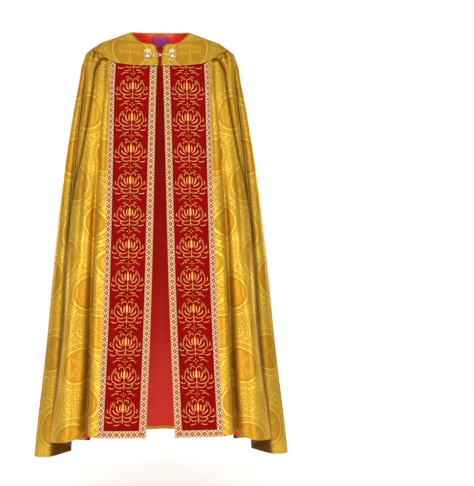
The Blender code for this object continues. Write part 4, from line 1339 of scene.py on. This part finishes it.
# ---------------------------------------------------------------- braid and velvet
def ribbon(name, surface, outer, inner, lift, thickness, finish, nodes=(), columns=4):
    """A strip between two lines of (across, height) on a surface, with woven selvedges."""
    outer, inner = np.asarray(outer, float), np.asarray(inner, float)
    share = np.linspace(0, 1, columns + 1)[None, :, None]
    flat = blend(outer[:, None], inner[:, None], share)
    points, normals = surface(flat[..., 0], flat[..., 1])
    ahead = (inner[0] - outer[0]) @ unit(outer[1] - outer[0])
    along = blend(arc(outer, 0)[:, None], ahead + arc(inner, 0)[:, None], share[..., 0])
    width = np.linalg.norm(outer - inner, axis=-1).min()
    across = np.broadcast_to(share[..., 0] * width, along.shape)
    crown = np.sin(np.pi * share[..., 0]) ** 0.5 * 0.00025
    face = points + normals * (lift + crown[..., None])
    facing = np.cross(face[1, 0] - face[0, 0], face[0, 1] - face[0, 0])
    pattern = np.stack([along, across], axis=-1)
    if facing @ normals[0, 0] < 0:
        face, pattern = face[:, ::-1], pattern[:, ::-1]
    return dress(panel(name, face, pattern, thickness), finish, *nodes)


def band_top(across):
    """Height of the orphrey's top, at the yoke's edge."""
    place = np.asarray(across, float) / BAND_WIDTH * BAND_ROWS
    return yoke_edge(along_folds("top_angle", place)) - 4 * SEAM_GAP


def band_foot(across):
    return along_folds("hem", np.asarray(across, float) / BAND_WIDTH * BAND_ROWS) + SEAM_GAP


def down_band(start, end, rise=0.0, count=130):
    """A line down the orphrey: across from start to end, and that much above its foot."""
    share = np.linspace(0, 1, count)
    across = blend(start, end, share)
    return np.stack([across, blend(band_top(start), band_foot(end) + rise, share)], axis=-1)


def make_orphrey():
    """The left orphrey and its braid, which is mitred at the foot."""
    w, far = BRAID_WIDTH, BAND_WIDTH - BRAID_WIDTH
    near_edge, far_edge = BRAID_MARGIN, BAND_WIDTH - BRAID_MARGIN
    near_velvet, far_velvet = w + VELVET_MARGIN, far - VELVET_MARGIN
    velvet = BAND_LIFT - VELVET_DROP, VELVET_CLOTH, "velvet"
    braid = BAND_LIFT, BRAID_CLOTH, "braid"
    lines = down_band(near_velvet, near_velvet, w), down_band(far_velvet, far_velvet, w)
    field = ribbon("orphrey_velvet_left", on_band, *lines, *velvet, ["orphrey_left"], 14)
    lines = down_band(near_edge, near_edge), down_band(w, w, w)
    inner = ribbon("orphrey_braid_inner_left", on_band, *lines, *braid, ["orphrey_braid_left"])
    lines = down_band(far_edge, far_edge), down_band(far, far, w)
    outer = ribbon("orphrey_braid_outer_left", on_band, *lines, *braid)
    across, above = np.linspace(near_edge, far_edge, 24), np.linspace(w, far, 24)
    lower = np.stack([across, band_foot(across)], axis=-1)
    upper = np.stack([above, band_foot(above) + w], axis=-1)
    foot = ribbon("orphrey_braid_foot_left", on_band, lower, upper, *braid)
    seams = (0.0016, 0.0), (w - 0.0014, w), (far + 0.0014, w), (BAND_WIDTH - 0.0016, 0.0)
    lines = [down_band(at, at, rise) for at, rise in seams]
    stitches = sewn("orphrey_stitches_left", on_band, lines, BAND_LIFT + 0.0002)
    return field, inner, outer, foot, stitches


def arm_place(turn, along, across):
    """Turns a cross arm's own sizes to places across the hood's back and heights."""
    x = across * math.cos(turn) + along * math.sin(turn)
    return x, CROSS_HEIGHT + along * math.cos(turn) - across * math.sin(turn)


def arm_half(along):
    share = np.clip((along - ARM_ROOT) / (CROSS_REACH - ARM_ROOT), 0, 1)
    return blend(ARM_ROOT_HALF_WIDTH, ARM_END_HALF_WIDTH, share**1.3)


ARMS = (("top", 0.0), ("right", 90.0), ("foot", 180.0), ("left", 270.0))


def make_cross():
    """The hood's cross: four arms of velvet, and braid on their edges."""
    w, tip = BRAID_WIDTH, CROSS_REACH - BRAID_WIDTH
    reach = np.linspace(ARM_ROOT, CROSS_REACH - BRAID_MARGIN, 30)
    within, end = np.linspace(ARM_ROOT, tip, 30), np.linspace(-1, 1, 24)
    outer_half, inner_half = arm_half(reach), arm_half(within) - w
    half = inner_half - VELVET_MARGIN
    velvet = CROSS_LIFT - VELVET_DROP, VELVET_CLOTH, "velvet"
    braid = CROSS_LIFT, BRAID_CLOTH, "braid"
    for name, degrees in ARMS:
        turn = math.radians(degrees)

        def line(along, across, turn=turn):
            return np.stack(arm_place(turn, along, across), axis=-1)

        for part, sign in (("", 1), ("_far", -1)):
            lines = line(reach, sign * outer_half), line(within, sign * inner_half)
            nodes = [f"cross_braid_{name}"] if sign > 0 else ()
            ribbon(f"cross_edging_{name}{part}", on_hood, *lines, *braid, nodes)
        outer = line(0 * end + CROSS_REACH - BRAID_MARGIN, end * ARM_END_HALF_WIDTH)
        inner = line(0 * end + tip, end * (arm_half(tip) - w))
        ribbon(f"cross_edging_{name}_end", on_hood, outer, inner, *braid)
        lines = line(within, -half), line(within, half)
        ribbon(f"cross_velvet_{name}", on_hood, *lines, *velvet, [f"cross_arm_{name}"], 10)


# ---------------------------------------------------------------- embroidery
# A stroke of laid thread: points (x, y) in millimetres, and its widths along them.
Stroke = namedtuple("Stroke", "kind points widths")

# One half of the orphrey's palmette; its other half mirrors it about the middle.
PALMETTE = (
    Stroke("bud", ((0, -6.5), (0, 4.5), (0, 17.5), (0, 29)), (0.8, 6.0, 5.0, 0.4)),
    Stroke("line", ((0, -36.5), (0, -27), (0, -15), (0, -6.5)), (1.0, 1.3, 1.3, 1.0)),
    Stroke("leaf", ((3.5, -4.5), (9, 4.5), (9, 15), (5, 26)), (0.5, 3.4, 3.0, 0.4)),
    Stroke("leaf", ((4.5, -6.5), (14.5, 0), (19, 11), (16, 24)), (0.5, 3.0, 3.2, 0.5)),
    Stroke("leaf", ((3.5, -11), (16, -8.5), (26.5, -1), (28.5, 11)), (0.5, 2.8, 3.2, 0.5)),
    Stroke("line", ((2.5, -15), (14.5, -19.5), (28.5, -15), (37, -4.5), (37, 8.5)),
           (0.9, 1.2, 1.3, 1.2, 0.8)),
    Stroke("line", ((37, 8.5), (34, 18.5), (27, 22.5), (24, 18.5), (28, 13)), (0.8, 1.1, 1.2, 1.1, 0.9)),
    Stroke("leaf", ((37, -4.5), (44, -3), (46, 3), (41.5, 12)), (0.4, 2.0, 2.1, 0.4)),
    Stroke("leaf", ((28.5, -15), (40, -18.5), (49, -16), (51, -9.5)), (0.4, 2.2, 2.2, 0.4)),
    Stroke("line", ((1.5, -28), (12, -31.5), (23.5, -28), (27.5, -21.5), (20.5, -18.5)),
           (0.9, 1.2, 1.3, 1.1, 0.8)),
    Stroke("leaf", ((21, -29), (33.5, -33.5), (43.5, -31.5), (48, -25)), (0.4, 2.4, 2.2, 0.4)),
    Stroke("leaf", ((2.5, -33.5), (11, -40), (22.5, -42), (32, -39)), (0.4, 2.3, 2.2, 0.4)),
    Stroke("line", ((1.5, 28), (6, 33.5), (12, 34.5), (17, 30), (16.5, 25)), (0.8, 1.1, 1.2, 1.0, 0.7)),
    Stroke("leaf", ((9, 35.5), (13, 41), (19, 40), (25, 33.5)), (0.4, 2.2, 2.2, 0.4)),
    Stroke("leaf", ((19.5, 28), (24.5, 29), (31, 26), (37, 19.5)), (0.4, 1.9, 1.9, 0.4)),
    Stroke("dot", ((27, 16), (27, 16.5)), (2.0, 2.0)),
    Stroke("dot", ((23.5, -22), (23.5, -21.5)), (1.8, 1.8)),
    Stroke("dot", ((15.5, 28), (15, 28.5)), (1.8, 1.8)),
    Stroke("dot", ((48.5, -3), (48.5, -2.5)), (1.3, 1.3)),
    Stroke("dot", ((4.5, 38), (4.5, 38.5)), (1.4, 1.4)),
)
# Between two palmettes: a lozenge of four buds on the middle line.
SPACER = (
    Stroke("bud", ((0, 2.2), (0, 4.5), (0, 7), (0, 9.5)), (0.5, 2.2, 1.9, 0.3)),
    Stroke("bud", ((0, -2.2), (0, -4.5), (0, -7), (0, -9.5)), (0.5, 2.2, 1.9, 0.3)),
    Stroke("bud", ((2.2, 0), (5, 0), (8, 0), (11, 0)), (0.5, 2.2, 1.9, 0.3)),
    Stroke("dot", ((0, 0), (0, 0.4)), (1.8, 1.8)),
    Stroke("line", ((13, 0), (18, 3), (25, 3.5), (31, 0), (35, -5)), (0.5, 1.0, 1.1, 1.0, 0.6)),
    Stroke("dot", ((38, -1), (38, -0.5)), (1.4, 1.4)),
)
# One half of an arm of the hood's cross, from the medallion outwards.
ARM_SCROLL = (
    Stroke("bud", ((0, 92), (0, 104), (0, 118), (0, 131)), (0.8, 5.4, 4.4, 0.4)),
    Stroke("bud", ((0, 140), (0, 150), (0, 162), (0, 174)), (0.6, 5.8, 4.6, 0.4)),
    Stroke("line", ((3, 94), (12, 96), (20, 105), (19, 117), (11, 121)), (0.9, 1.3, 1.5, 1.4, 0.9)),
    Stroke("line", ((11, 121), (6, 115), (9, 109), (13, 111)), (0.9, 1.1, 1.1, 0.9)),
    Stroke("line", ((17, 120), (26, 128), (29, 141), (22, 150), (13, 149)), (1.0, 1.4, 1.5, 1.4, 1.0)),
    Stroke("line", ((13, 149), (7, 143), (10, 136), (16, 138)), (1.0, 1.1, 1.1, 0.9)),
    Stroke("line", ((24, 148), (32, 157), (38, 168), (33, 179), (22, 181)), (1.0, 1.4, 1.5, 1.4, 1.0)),
    Stroke("line", ((22, 181), (14, 177), (15, 169), (22, 169)), (1.0, 1.2, 1.2, 0.9)),
    Stroke("leaf", ((20, 102), (28, 99), (34, 104), (35, 112)), (0.4, 2.6, 2.4, 0.4)),
    Stroke("leaf", ((21, 112), (28, 114), (33, 120), (32, 128)), (0.4, 2.4, 2.2, 0.4)),
    Stroke("leaf", ((29, 134), (36, 134), (41, 140), (41, 148)), (0.4, 2.4, 2.4, 0.4)),
    Stroke("leaf", ((29, 147), (37, 151), (43, 158), (44, 167)), (0.4, 2.6, 2.4, 0.4)),
    Stroke("leaf", ((38, 171), (43, 174), (46, 180), (45, 187)), (0.4, 2.2, 2.2, 0.4)),
    Stroke("leaf", ((4, 134), (10, 129), (17, 128), (22, 132)), (0.4, 1.9, 1.9, 0.4)),
    Stroke("leaf", ((5, 178), (9, 184), (17, 188), (26, 187)), (0.4, 2.4, 2.4, 0.4)),
    Stroke("leaf", ((0, 178), (2, 183), (1, 188), (0, 191)), (0.6, 2.2, 1.8, 0.3)),
    Stroke("dot", ((13, 113), (13, 113.5)), (2.4, 2.4)),
    Stroke("dot", ((17, 141), (17, 141.5)), (2.6, 2.6)),
    Stroke("dot", ((23, 172), (23, 172.5)), (2.8, 2.8)),
    Stroke("dot", ((9, 135), (9, 135.5)), (1.4, 1.4)),
    Stroke("dot", ((34, 190), (34, 190.5)), (1.6, 1.6)),
    Stroke("dot", ((26, 94), (26, 94.5)), (1.6, 1.6)),
)
# A quarter of the medallion: these strokes and their mirror about the line up its middle.
MEDALLION_WORK = (
    Stroke("bar", ((0, 7), (0, 18), (0, 30), (0, 39)), (4.6, 3.2, 3.2, 4.0)),
    Stroke("leaf", ((0, 38), (0, 45), (0, 52), (0, 60)), (1.5, 5.2, 4.2, 0.4)),
    Stroke("leaf", ((2, 38), (9, 42), (15, 41), (17, 34)), (1.2, 3.4, 3.0, 0.6)),
    Stroke("line", ((6, 12), (13, 17), (20, 27), (24, 38)), (0.8, 1.1, 1.2, 0.8)),
    Stroke("leaf", ((22, 33), (30, 36), (34, 42), (33, 50)), (0.4, 2.6, 2.6, 0.4)),
    Stroke("leaf", ((16, 44), (14, 51), (17, 57), (22, 61)), (0.4, 2.2, 2.2, 0.4)),
    Stroke("dot", ((9, 53), (9, 53.5)), (2.0, 2.0)),
    Stroke("dot", ((27, 58), (27, 58.5)), (1.8, 1.8)),
)
# How high a stroke stands for its width, and its width's share of the drawn one.
RISE = {"bud": 0.34, "leaf": 0.34, "line": 0.62, "dot": 0.6, "bar": 0.26}
FINENESS = {"bud": 0.66, "leaf": 0.60, "line": 0.95, "dot": 0.85, "bar": 0.85}
SILK = {"bud": "yellow silk", "bar": "yellow silk", "dot": "yellow silk"}


def strokes_mesh(name, strokes, colour):
    """The strokes of one colour and their mirror as flat work with its face up, in metres."""
    meshes = []
    for kind in sorted({stroke.kind for stroke in strokes}):
        splines = []
        for stroke in strokes:
            if stroke.kind != kind or SILK.get(kind, "gold silk") != colour:
                continue
            upright = max(abs(x) for x, _ in stroke.points) == 0
            for sign in (1,) if upright else (1, -1):
                stations = zip(stroke.points, stroke.widths)
                fine = FINENESS[kind]
                splines.append([(sign * x, y, 0.0, width * fine) for (x, y), width in stations])
        if not splines:
            continue
        steps = 1 if kind == "dot" else 4
        mesh = curve_mesh(name, splines, sides=8, smooth_steps=steps)
        mesh.transform(Matrix.Diagonal((MILLIMETRE, MILLIMETRE, MILLIMETRE * RISE[kind], 1)))
        meshes.append(mesh)
    return joined(name, meshes) if meshes else None


TOP_OF_WORK = -0.0935  # where the yoke begins to cover the orphreys


def cut_off(mesh, top):
    """Flat work without what lies above a height."""
    bm = bmesh.new()
    bm.from_mesh(mesh)
    all_of_it = bm.verts[:] + bm.edges[:] + bm.faces[:]
    plane = {"plane_co": (0, top, 0), "plane_no": (0, 1, 0)}
    bmesh.ops.bisect_plane(bm, geom=all_of_it, **plane, clear_outer=True)
    bm.to_mesh(mesh)
    bm.free()
    return mesh


def worked(name, motif, strokes, surface, places, lift):
    """Embroidery laid again and again: places are (across, height, turn) on a surface."""
    made = []
    for colour in ("gold silk", "yellow silk"):
        flat = strokes_mesh(motif, strokes, colour)
        if flat is None:
            continue
        laid = []
        for across, height, turn in places:
            copy = flat.copy()
            copy.transform(Matrix.Rotation(turn, 4, "Z"))
            if surface is on_band:
                copy = cut_off(copy, TOP_OF_WORK - height)
            laid.append(lay(copy, surface, across, height, lift))
        piece = new_object(f"{name}_{colour.split()[0]}", joined(name, laid))
        made.append(dress(piece, colour))
    return made


def make_embroidery():
    """Palmettes down both orphreys, scrolls on the cross, and the medallion's work."""
    middle, lift = BAND_WIDTH / 2, BAND_LIFT - WORK_DROP
    heights = [FIRST_MOTIF - MOTIF_PITCH * k for k in range(MOTIF_COUNT)]
    places = [(middle, height, 0.0) for height in heights]
    made = worked("orphrey_palmettes_left", "palmette", PALMETTE, on_band, places, lift)
    places = [(middle, height + MOTIF_PITCH / 2, 0.0) for height in heights[1:]]
    made += worked("orphrey_buds_left", "spacer", SPACER, on_band, places, lift)
    for piece in made:
        twin(piece)
    lift = CROSS_LIFT - WORK_DROP
    for name, degrees in ARMS:
        places = [(0.0, CROSS_HEIGHT, -math.radians(degrees))]
        worked(f"cross_scrolls_{name}", "scroll", ARM_SCROLL, on_hood, places, lift)
    lift += TRIM_CLOTH + SEAM_GAP
    places = [(0.0, CROSS_HEIGHT, math.radians(90 * k)) for k in range(4)]
    worked("medallion_cross", "fleury", MEDALLION_WORK, on_hood, places, lift)


def make_medallion():
    """The medallion's velvet disc, and a raised rim of satin stitch round it."""
    lift = CROSS_LIFT + SEAM_GAP
    bm = bmesh.new()
    bmesh.ops.create_circle(bm, cap_ends=True, segments=96, radius=MEDALLION_RADIUS)
    for inset in (0.010, 0.014, 0.016, 0.016):
        face = max(bm.faces, key=lambda f: len(f.verts))
        bmesh.ops.inset_region(bm, faces=[face], thickness=inset)
    mesh = to_mesh(bm, "medallion_velvet")
    lay(mesh, on_hood, 0.0, CROSS_HEIGHT, lift + TRIM_CLOTH - VELVET_DROP)
    dress(thickened(new_object("medallion_velvet", mesh), 0.0008), "velvet", "medallion")
    middle, half = (MEDALLION_RADIUS + MEDALLION_RIM) / 2, (MEDALLION_RIM - MEDALLION_RADIUS) / 2
    stitches = []
    for k in range(MEDALLION_STITCHES):
        turn = math.tau * k / MEDALLION_STITCHES
        lean = turn + 0.035
        ends = (middle - half, turn, 0.3), (middle, (turn + lean) / 2, 1.25), (middle + half, lean, 0.3)
        stitches.append([(*spoke(r, t), rise * MILLIMETRE, 0.00105) for r, t, rise in ends])
    mesh = lay(curve_mesh("medallion_satin_stitch", stitches, 6, 2), on_hood, 0.0, CROSS_HEIGHT, lift)
    dress(new_object("medallion_satin_stitch", mesh), "yellow silk", "medallion_rim")
    rings = []
    for radius in (MEDALLION_RADIUS - 0.0014, MEDALLION_RIM + 0.0012):
        turns = np.linspace(0, math.tau, 96)
        rings.append([(*spoke(radius, t), 0.0012, 0.0011) for t in turns])
    mesh = lay(curve_mesh("medallion_cords", rings, 8), on_hood, 0.0, CROSS_HEIGHT, lift)
    dress(new_object("medallion_cords", mesh), "gold cord")


# ---------------------------------------------------------------- cords, label and sewing
def twisted(path, up, plies, radius, pitch, step=0.0011):
    """Plies that wind round a path; up gives a direction off the path at each point."""
    path = np.asarray(path, float)
    length = arc(path, 0)
    samples = np.arange(0, length[-1], step)
    at = np.stack([np.interp(samples, length, c) for c in path.T], axis=-1)
    over = np.stack([np.interp(samples, length, c) for c in np.asarray(up, float).T], axis=-1)
    along = unit(np.gradient(at, axis=0))
    side = unit(np.cross(along, over))
    over = np.cross(side, along)
    strands = []
    for ply in range(plies):
        turn = (math.tau * (samples / pitch + ply / plies))[:, None]
        strand = at + radius * PLY_OFFSET * (side * np.cos(turn) + over * np.sin(turn))
        strands.append([(*point, radius * PLY_RADIUS) for point in strand])
    return strands


def neck_line():
    """The neck's edge from the left front past the back to the right front."""
    angle = np.concatenate([np.linspace(-84.5, 0, 60)[:-1], np.linspace(0, 90, 60)])
    height = neck_edge(angle)
    edge = np.stack([*on_form(angle, height), height], axis=-1)
    lower = np.stack([*on_form(angle, height - 0.004), height - 0.004], axis=-1)
    upward = unit(edge - lower)
    outward = unit(np.cross(np.gradient(edge, axis=0), upward))
    path = edge + upward * (PIPING_RADIUS + 3 * SEAM_GAP) + outward * BROCADE
    path = np.concatenate([path, path[-2::-1] * MIRROR])
    return path, np.concatenate([upward, upward[-2::-1] * MIRROR])


def make_neck(cloth):
    """The cord round the neck's edge, and the label that is sewn inside the back."""
    path, upward = neck_line()
    strands = twisted(path, upward, 3, PIPING_RADIUS, PIPING_PITCH)
    dress(new_object("neck_cord", curve_mesh("neck_cord", strands, 8)), "gold cord", "neck_piping")
    # The label lies on the lining just below the neck, at the back.
    ring = all_round(cloth.points[:3])
    top, low = blend(ring[0], ring[1], 0.12), blend(ring[1], ring[2], 0.30)
    across = np.linspace(-LABEL_HALF_WIDTH, LABEL_HALF_WIDTH, 27)
    rows = []
    for share in np.linspace(0, 1, 5):
        line = blend(top, low, share)
        behind = line[line[:, 1] > 0]
        behind = behind[np.argsort(behind[:, 0])]
        rows.append(np.stack([np.interp(across, behind[:, 0], c) for c in behind.T], axis=-1))
    patch = np.array(rows)[:, ::-1]
    off = -normals_of(patch)
    face = patch + off * (LINING_CLOTH + 2.2 * SEAM_GAP)
    pattern = np.stack([patch[..., 0], arc(patch, 0)], axis=-1)
    dress(panel("label_weave", face, pattern, LABEL_CLOTH), "label", "label")
    border = [face[0], face[-1], face[:, 0], face[:, -1]]
    directions = [off[0], off[-1], off[:, 0], off[:, -1]]
    sewn_along("label_stitches", border, directions)


def sewn_along(name, lines, directions, lift=0.0004):
    """Short stitches along lines in space, which stand off in the given directions."""
    bm = bmesh.new()
    for line, off in zip(lines, directions):
        points = np.asarray(line) + off * lift
        length = arc(points, 0)
        for start in np.arange(STITCH_PITCH / 2, length[-1] - STITCH_LENGTH, STITCH_PITCH):
            ends = [start, start + STITCH_LENGTH]
            a, b = (np.array([np.interp(e, length, c) for c in points.T]) for e in ends)
            up = unit(np.array([np.interp(start, length, c) for c in off.T]))
            along = unit(b - a)
            side = unit(np.cross(up, along))
            up = np.cross(along, side)
            turn = Matrix(np.stack([along, side, up], axis=1)).to_4x4()
            size = Matrix.Diagonal((STITCH_LENGTH / 2, STITCH_THREAD, STITCH_THREAD, 1))
            place = Matrix.Translation((a + b) / 2) @ turn @ size
            bmesh.ops.create_icosphere(bm, subdivisions=1, radius=1, matrix=place)
    return dress(new_object(name, to_mesh(bm, name)), "sewing thread")


def sewn(name, surface, lines, lift):
    """Running stitches along lines of (across, height) on a surface."""
    spaced = [surface(*np.asarray(line, float).T) for line in lines]
    points = [point + normal * lift for point, normal in spaced]
    return sewn_along(name, points, [normal for _, normal in spaced], 0.0)


def edge_cord(name, line, radius):
    """A fine cord along a line in space, dark to give the shadow line under the edge."""
    cord = curve_mesh(name, [[(*point, radius) for point in line]], 8)
    return dress(new_object(name, cord), "shadow seam cord")


def make_edges(yoke, hood):
    """Cord along the yoke's foot and the hood's edge, darkened as a painted shadow line, and the
    stitches beside it.
    """
    grid, normals = yoke
    line = grid[-1] + normals[-1] * (YOKE_LIFT + BROCADE * 0.5)
    twin(edge_cord("yoke_seam_cord_left", line, 0.00075))
    line = blend(grid[-2], grid[-3], 0.5) + normals[-2] * (YOKE_LIFT + BROCADE)
    twin(sewn_along("yoke_stitches_left", [line], [normals[-2]], 0.0001))
    grid, normals = hood
    line = grid[-1] + normals[-1] * (HOOD_LIFT + BROCADE * 0.5)
    edge_cord("hood_shadow_cord", line, 0.0010)
    line = grid[-2] * 0.6 + grid[-3] * 0.4 + normals[-2] * (HOOD_LIFT + BROCADE)
    sewn_along("hood_stitches", [line], [normals[-2]], 0.0001)


# ---------------------------------------------------------------- clasp and tassel
def oval(size, turn):
    """A place on the clasp's plate, where size is 1 at the edge."""
    return CLASP_HALF_WIDTH * size * math.cos(turn), CLASP_HALF_HEIGHT * size * math.sin(turn)


def lobed(size, turn):
    """The same with the plate's eight lobes, which die out towards its middle."""
    return oval(size * (1 + 0.07 * size * math.cos(8 * turn)), turn)


def make_clasp():
    """Two lobed plates of filigree, and the hook and eye that join them."""
    base = YOKE_LIFT + BROCADE + SEAM_GAP
    centre = (*CLASP_CENTRE, base)
    bm = turned(CLASP_PROFILE, 80)
    for vert in bm.verts:
        size, turn = math.hypot(vert.co.x, vert.co.y), math.atan2(vert.co.y, vert.co.x)
        vert.co.x, vert.co.y = lobed(size, turn)
    mesh = lay(to_mesh(bm, "clasp_shell_left"), on_yoke, *centre)
    shell = dress(new_object("clasp_shell_left", mesh), "gilt", "clasp_plate_left")

    wires = []
    for k in range(8):
        turn = math.tau * (k + 0.5) / 8
        for sign in (1, -1):
            wire = []
            for share in np.linspace(0, 1, 9):
                curl = turn + sign * (0.10 + 0.26 * math.sin(share * math.pi))
                wire.append((*oval(0.42 + 0.50 * share, curl), 0.0028 - 0.0008 * share, 0.00038))
            wires.append(wire)
    for size, rise, radius in ((0.96, 0.0016, 0.00060), (0.40, 0.0036, 0.00045)):
        turns = np.linspace(0, math.tau, 97)
        wires.append([(*lobed(size, t), rise, radius) for t in turns])
    mesh = lay(curve_mesh("clasp_filigree_left", wires, 8), on_yoke, *centre)
    filigree = dress(new_object("clasp_filigree_left", mesh), "gilt")

    bm = bmesh.new()
    for ring in CLASP_GRAINS:
        for k in range(ring.count):
            at = Matrix.Translation((*oval(ring.size, math.tau * (k + 0.5) / ring.count), ring.rise))
            bmesh.ops.create_icosphere(bm, subdivisions=2, radius=ring.radius, matrix=at)
    at = Matrix.Translation((0, 0, 0.0056)) @ Matrix.Diagonal((1.0, 1.25, 0.6, 1))
    bmesh.ops.create_icosphere(bm, subdivisions=3, radius=0.0036, matrix=at)
    mesh = lay(to_mesh(bm, "clasp_grains_left"), on_yoke, *centre)
    grains = dress(new_object("clasp_grains_left", mesh), "gilt")
    for piece in (shell, filigree, grains):
        twin(piece)

    height, rise = CLASP_CENTRE[1] - 0.003, base + 0.0026
    stations = [(bend.across, 0.0, rise + bend.rise, 0.0012) for bend in CLASP_HOOK]
    mesh = lay(curve_mesh("clasp_hook_wire", [stations], 10, 6), on_yoke, 0.0, height)
    dress(new_object("clasp_hook_wire", mesh), "gilt", "clasp_hook")
    stations = []
    for t in np.linspace(0, math.tau, 48, endpoint=False):
        flattened = math.copysign(abs(math.cos(t)) ** 0.7, math.cos(t))
        stations.append((-0.0094 + 0.0134 * flattened, 0.0046 * math.sin(t), rise, 0.0011))
    mesh = lay(curve_mesh("clasp_eye_wire", [stations], 10, cyclic=True), on_yoke, 0.0, height)
    dress(new_object("clasp_eye_wire", mesh), "gilt", "clasp_eye")


def make_tassel():
    """A turned head bound with cord, its strands, and the cord that it hangs by."""
    tip = HOOD_EDGE[0].height
    hood_y = float(hood_depth(np.array(0.0), np.array(tip))) + HOOD_LIFT
    top = hood_y + TASSEL_STAND
    foot = TASSEL_HEAD[-1].drop
    noise = random.Random(7)

    def place(x, y, drop):
        return x, top + y + TASSEL_TILT * drop, TASSEL_TOP - drop

    profile = [(0.0, 0.0), *((row.radius, -row.drop) for row in TASSEL_HEAD), (0.0, -foot)]
    bm = turned(profile, 40, cuts=2)
    for vert in bm.verts:
        vert.co = place(vert.co.x, vert.co.y, -vert.co.z)
    dress(new_object("tassel_head", to_mesh(bm, "tassel_head")), "gold cord")
    strands = []
    length = TASSEL_TOP - TASSEL_FOOT
    for k in range(TASSEL_STRANDS):
        turn = k * GOLDEN_TURN
        size = TASSEL_RADIUS * math.sqrt((k + 0.5) / TASSEL_STRANDS)
        wide = TASSEL_SPREAD + noise.uniform(-0.25, 0.35)
        sway, end = noise.uniform(-0.0008, 0.0008), length - noise.uniform(0.0, 0.005)
        strand = []
        for share in np.linspace(0, 1, 7):
            grow = 1 + (wide - 1) * math.sin(share * 1.35)
            bend = sway * math.sin(share * 5 + k)
            x, y = size * math.cos(turn) * grow + bend, size * math.sin(turn) * grow + bend
            strand.append((*place(x, y, blend(foot - 0.003, end, share)), STRAND_RADIUS))
        strands.append(strand)
    skirt = new_object("tassel_strands", curve_mesh("tassel_strands", strands, 6, 2))
    dress(skirt, "gold cord", "tassel")
    binding = []
    for start, end, radius in ((0.0092, 0.0128, 0.0044), (0.0005, 0.0028, 0.0036)):
        wraps = zip(np.linspace(0, math.tau * 6, 150), np.linspace(start, end, 150))
        binding.append([(*place(*spoke(radius, t), drop), 0.0004) for t, drop in wraps])
    dress(new_object("tassel_binding", curve_mesh("tassel_binding", binding, 6)), "yellow silk")
    low = hood_y + BROCADE
    path = [(0, low + 0.0012, tip + 0.006), (0, low + 0.0030, tip - 0.002)]
    path.append((0, top, TASSEL_TOP + 0.0012))
    strands = twisted(path, np.tile([1.0, 0.0, 0.0], (3, 1)), 3, 0.0012, 0.004, 0.0006)
    cord = new_object("tassel_hanger", curve_mesh("tassel_hanger", strands, 8))
    dress(cord, "gold cord", "tassel_cord")


# ---------------------------------------------------------------- the studio
def make_studio():
    """White all round, a pale floor, five lamps and the camera."""
    scene = bpy.context.scene
    scene.view_settings.view_transform = "Standard"
    world = bpy.data.worlds.new("studio")
    world.use_nodes = True
    sky = world.node_tree.nodes["Background"]
    sky.inputs["Color"].default_value = (1.0, 1.0, 1.0, 1.0)
    # The camera sees white; the cloth is lit by less, so that its folds keep their shade.
    path = world.node_tree.nodes.new("ShaderNodeLightPath")
    strength = world.node_tree.nodes.new("ShaderNodeMapRange")
    strength.inputs["To Min"].default_value = AMBIENT
    world.node_tree.links.new(path.outputs["Is Camera Ray"], strength.inputs["Value"])
    world.node_tree.links.new(strength.outputs[0], sky.inputs["Strength"])
    scene.world = world
    bm = bmesh.new()
    bmesh.ops.create_circle(bm, cap_ends=True, segments=96, radius=FLOOR_RADIUS)
    bmesh.ops.translate(bm, vec=(0, 0, FLOOR_HEIGHT), verts=bm.verts)
    floor = new_object("floor", to_mesh(bm, "floor", smooth=False))
    pale = Recipe("pale floor", Base_Color=FLOOR_COLOUR, Roughness=0.9,
                  Emission_Color=(1.0, 1.0, 1.0, 1.0), Emission_Strength=FLOOR_GLOW)
    floor.data.materials.append(pale.material)
    for name, at, size, power in LAMPS:
        lamp = bpy.data.lights.new(name, "AREA")
        lamp.size, lamp.energy = size, power
        light = new_object(name, lamp)
        light.location = at
        light.rotation_euler = (Vector(LAMPS_AIM) - Vector(at)).to_track_quat("-Z", "Y").to_euler()
    lens = bpy.data.cameras.new("camera")
    lens.angle = math.radians(CAMERA_ANGLE)
    camera = new_object("camera", lens)
    camera.location = CAMERA_PLACE
    camera.rotation_euler = Euler((math.radians(90 - CAMERA_DIP), 0.0, math.radians(-CAMERA_TURN)))
    scene.camera = camera


# Width, length and area that each piece of cloth was cut to.
Cut = namedtuple("Cut", "pieces width length area held rests_on")


def main():
    cloth = Cloth()
    make_cloth(cloth)
    yoke, hood = make_yoke(), make_hood()
    for piece in make_orphrey():
        twin(piece)
    make_cross()
    make_medallion()
    make_embroidery()
    make_neck(cloth)
    make_edges(yoke, hood)
    make_clasp()
    make_tassel()
    make_studio()


main()
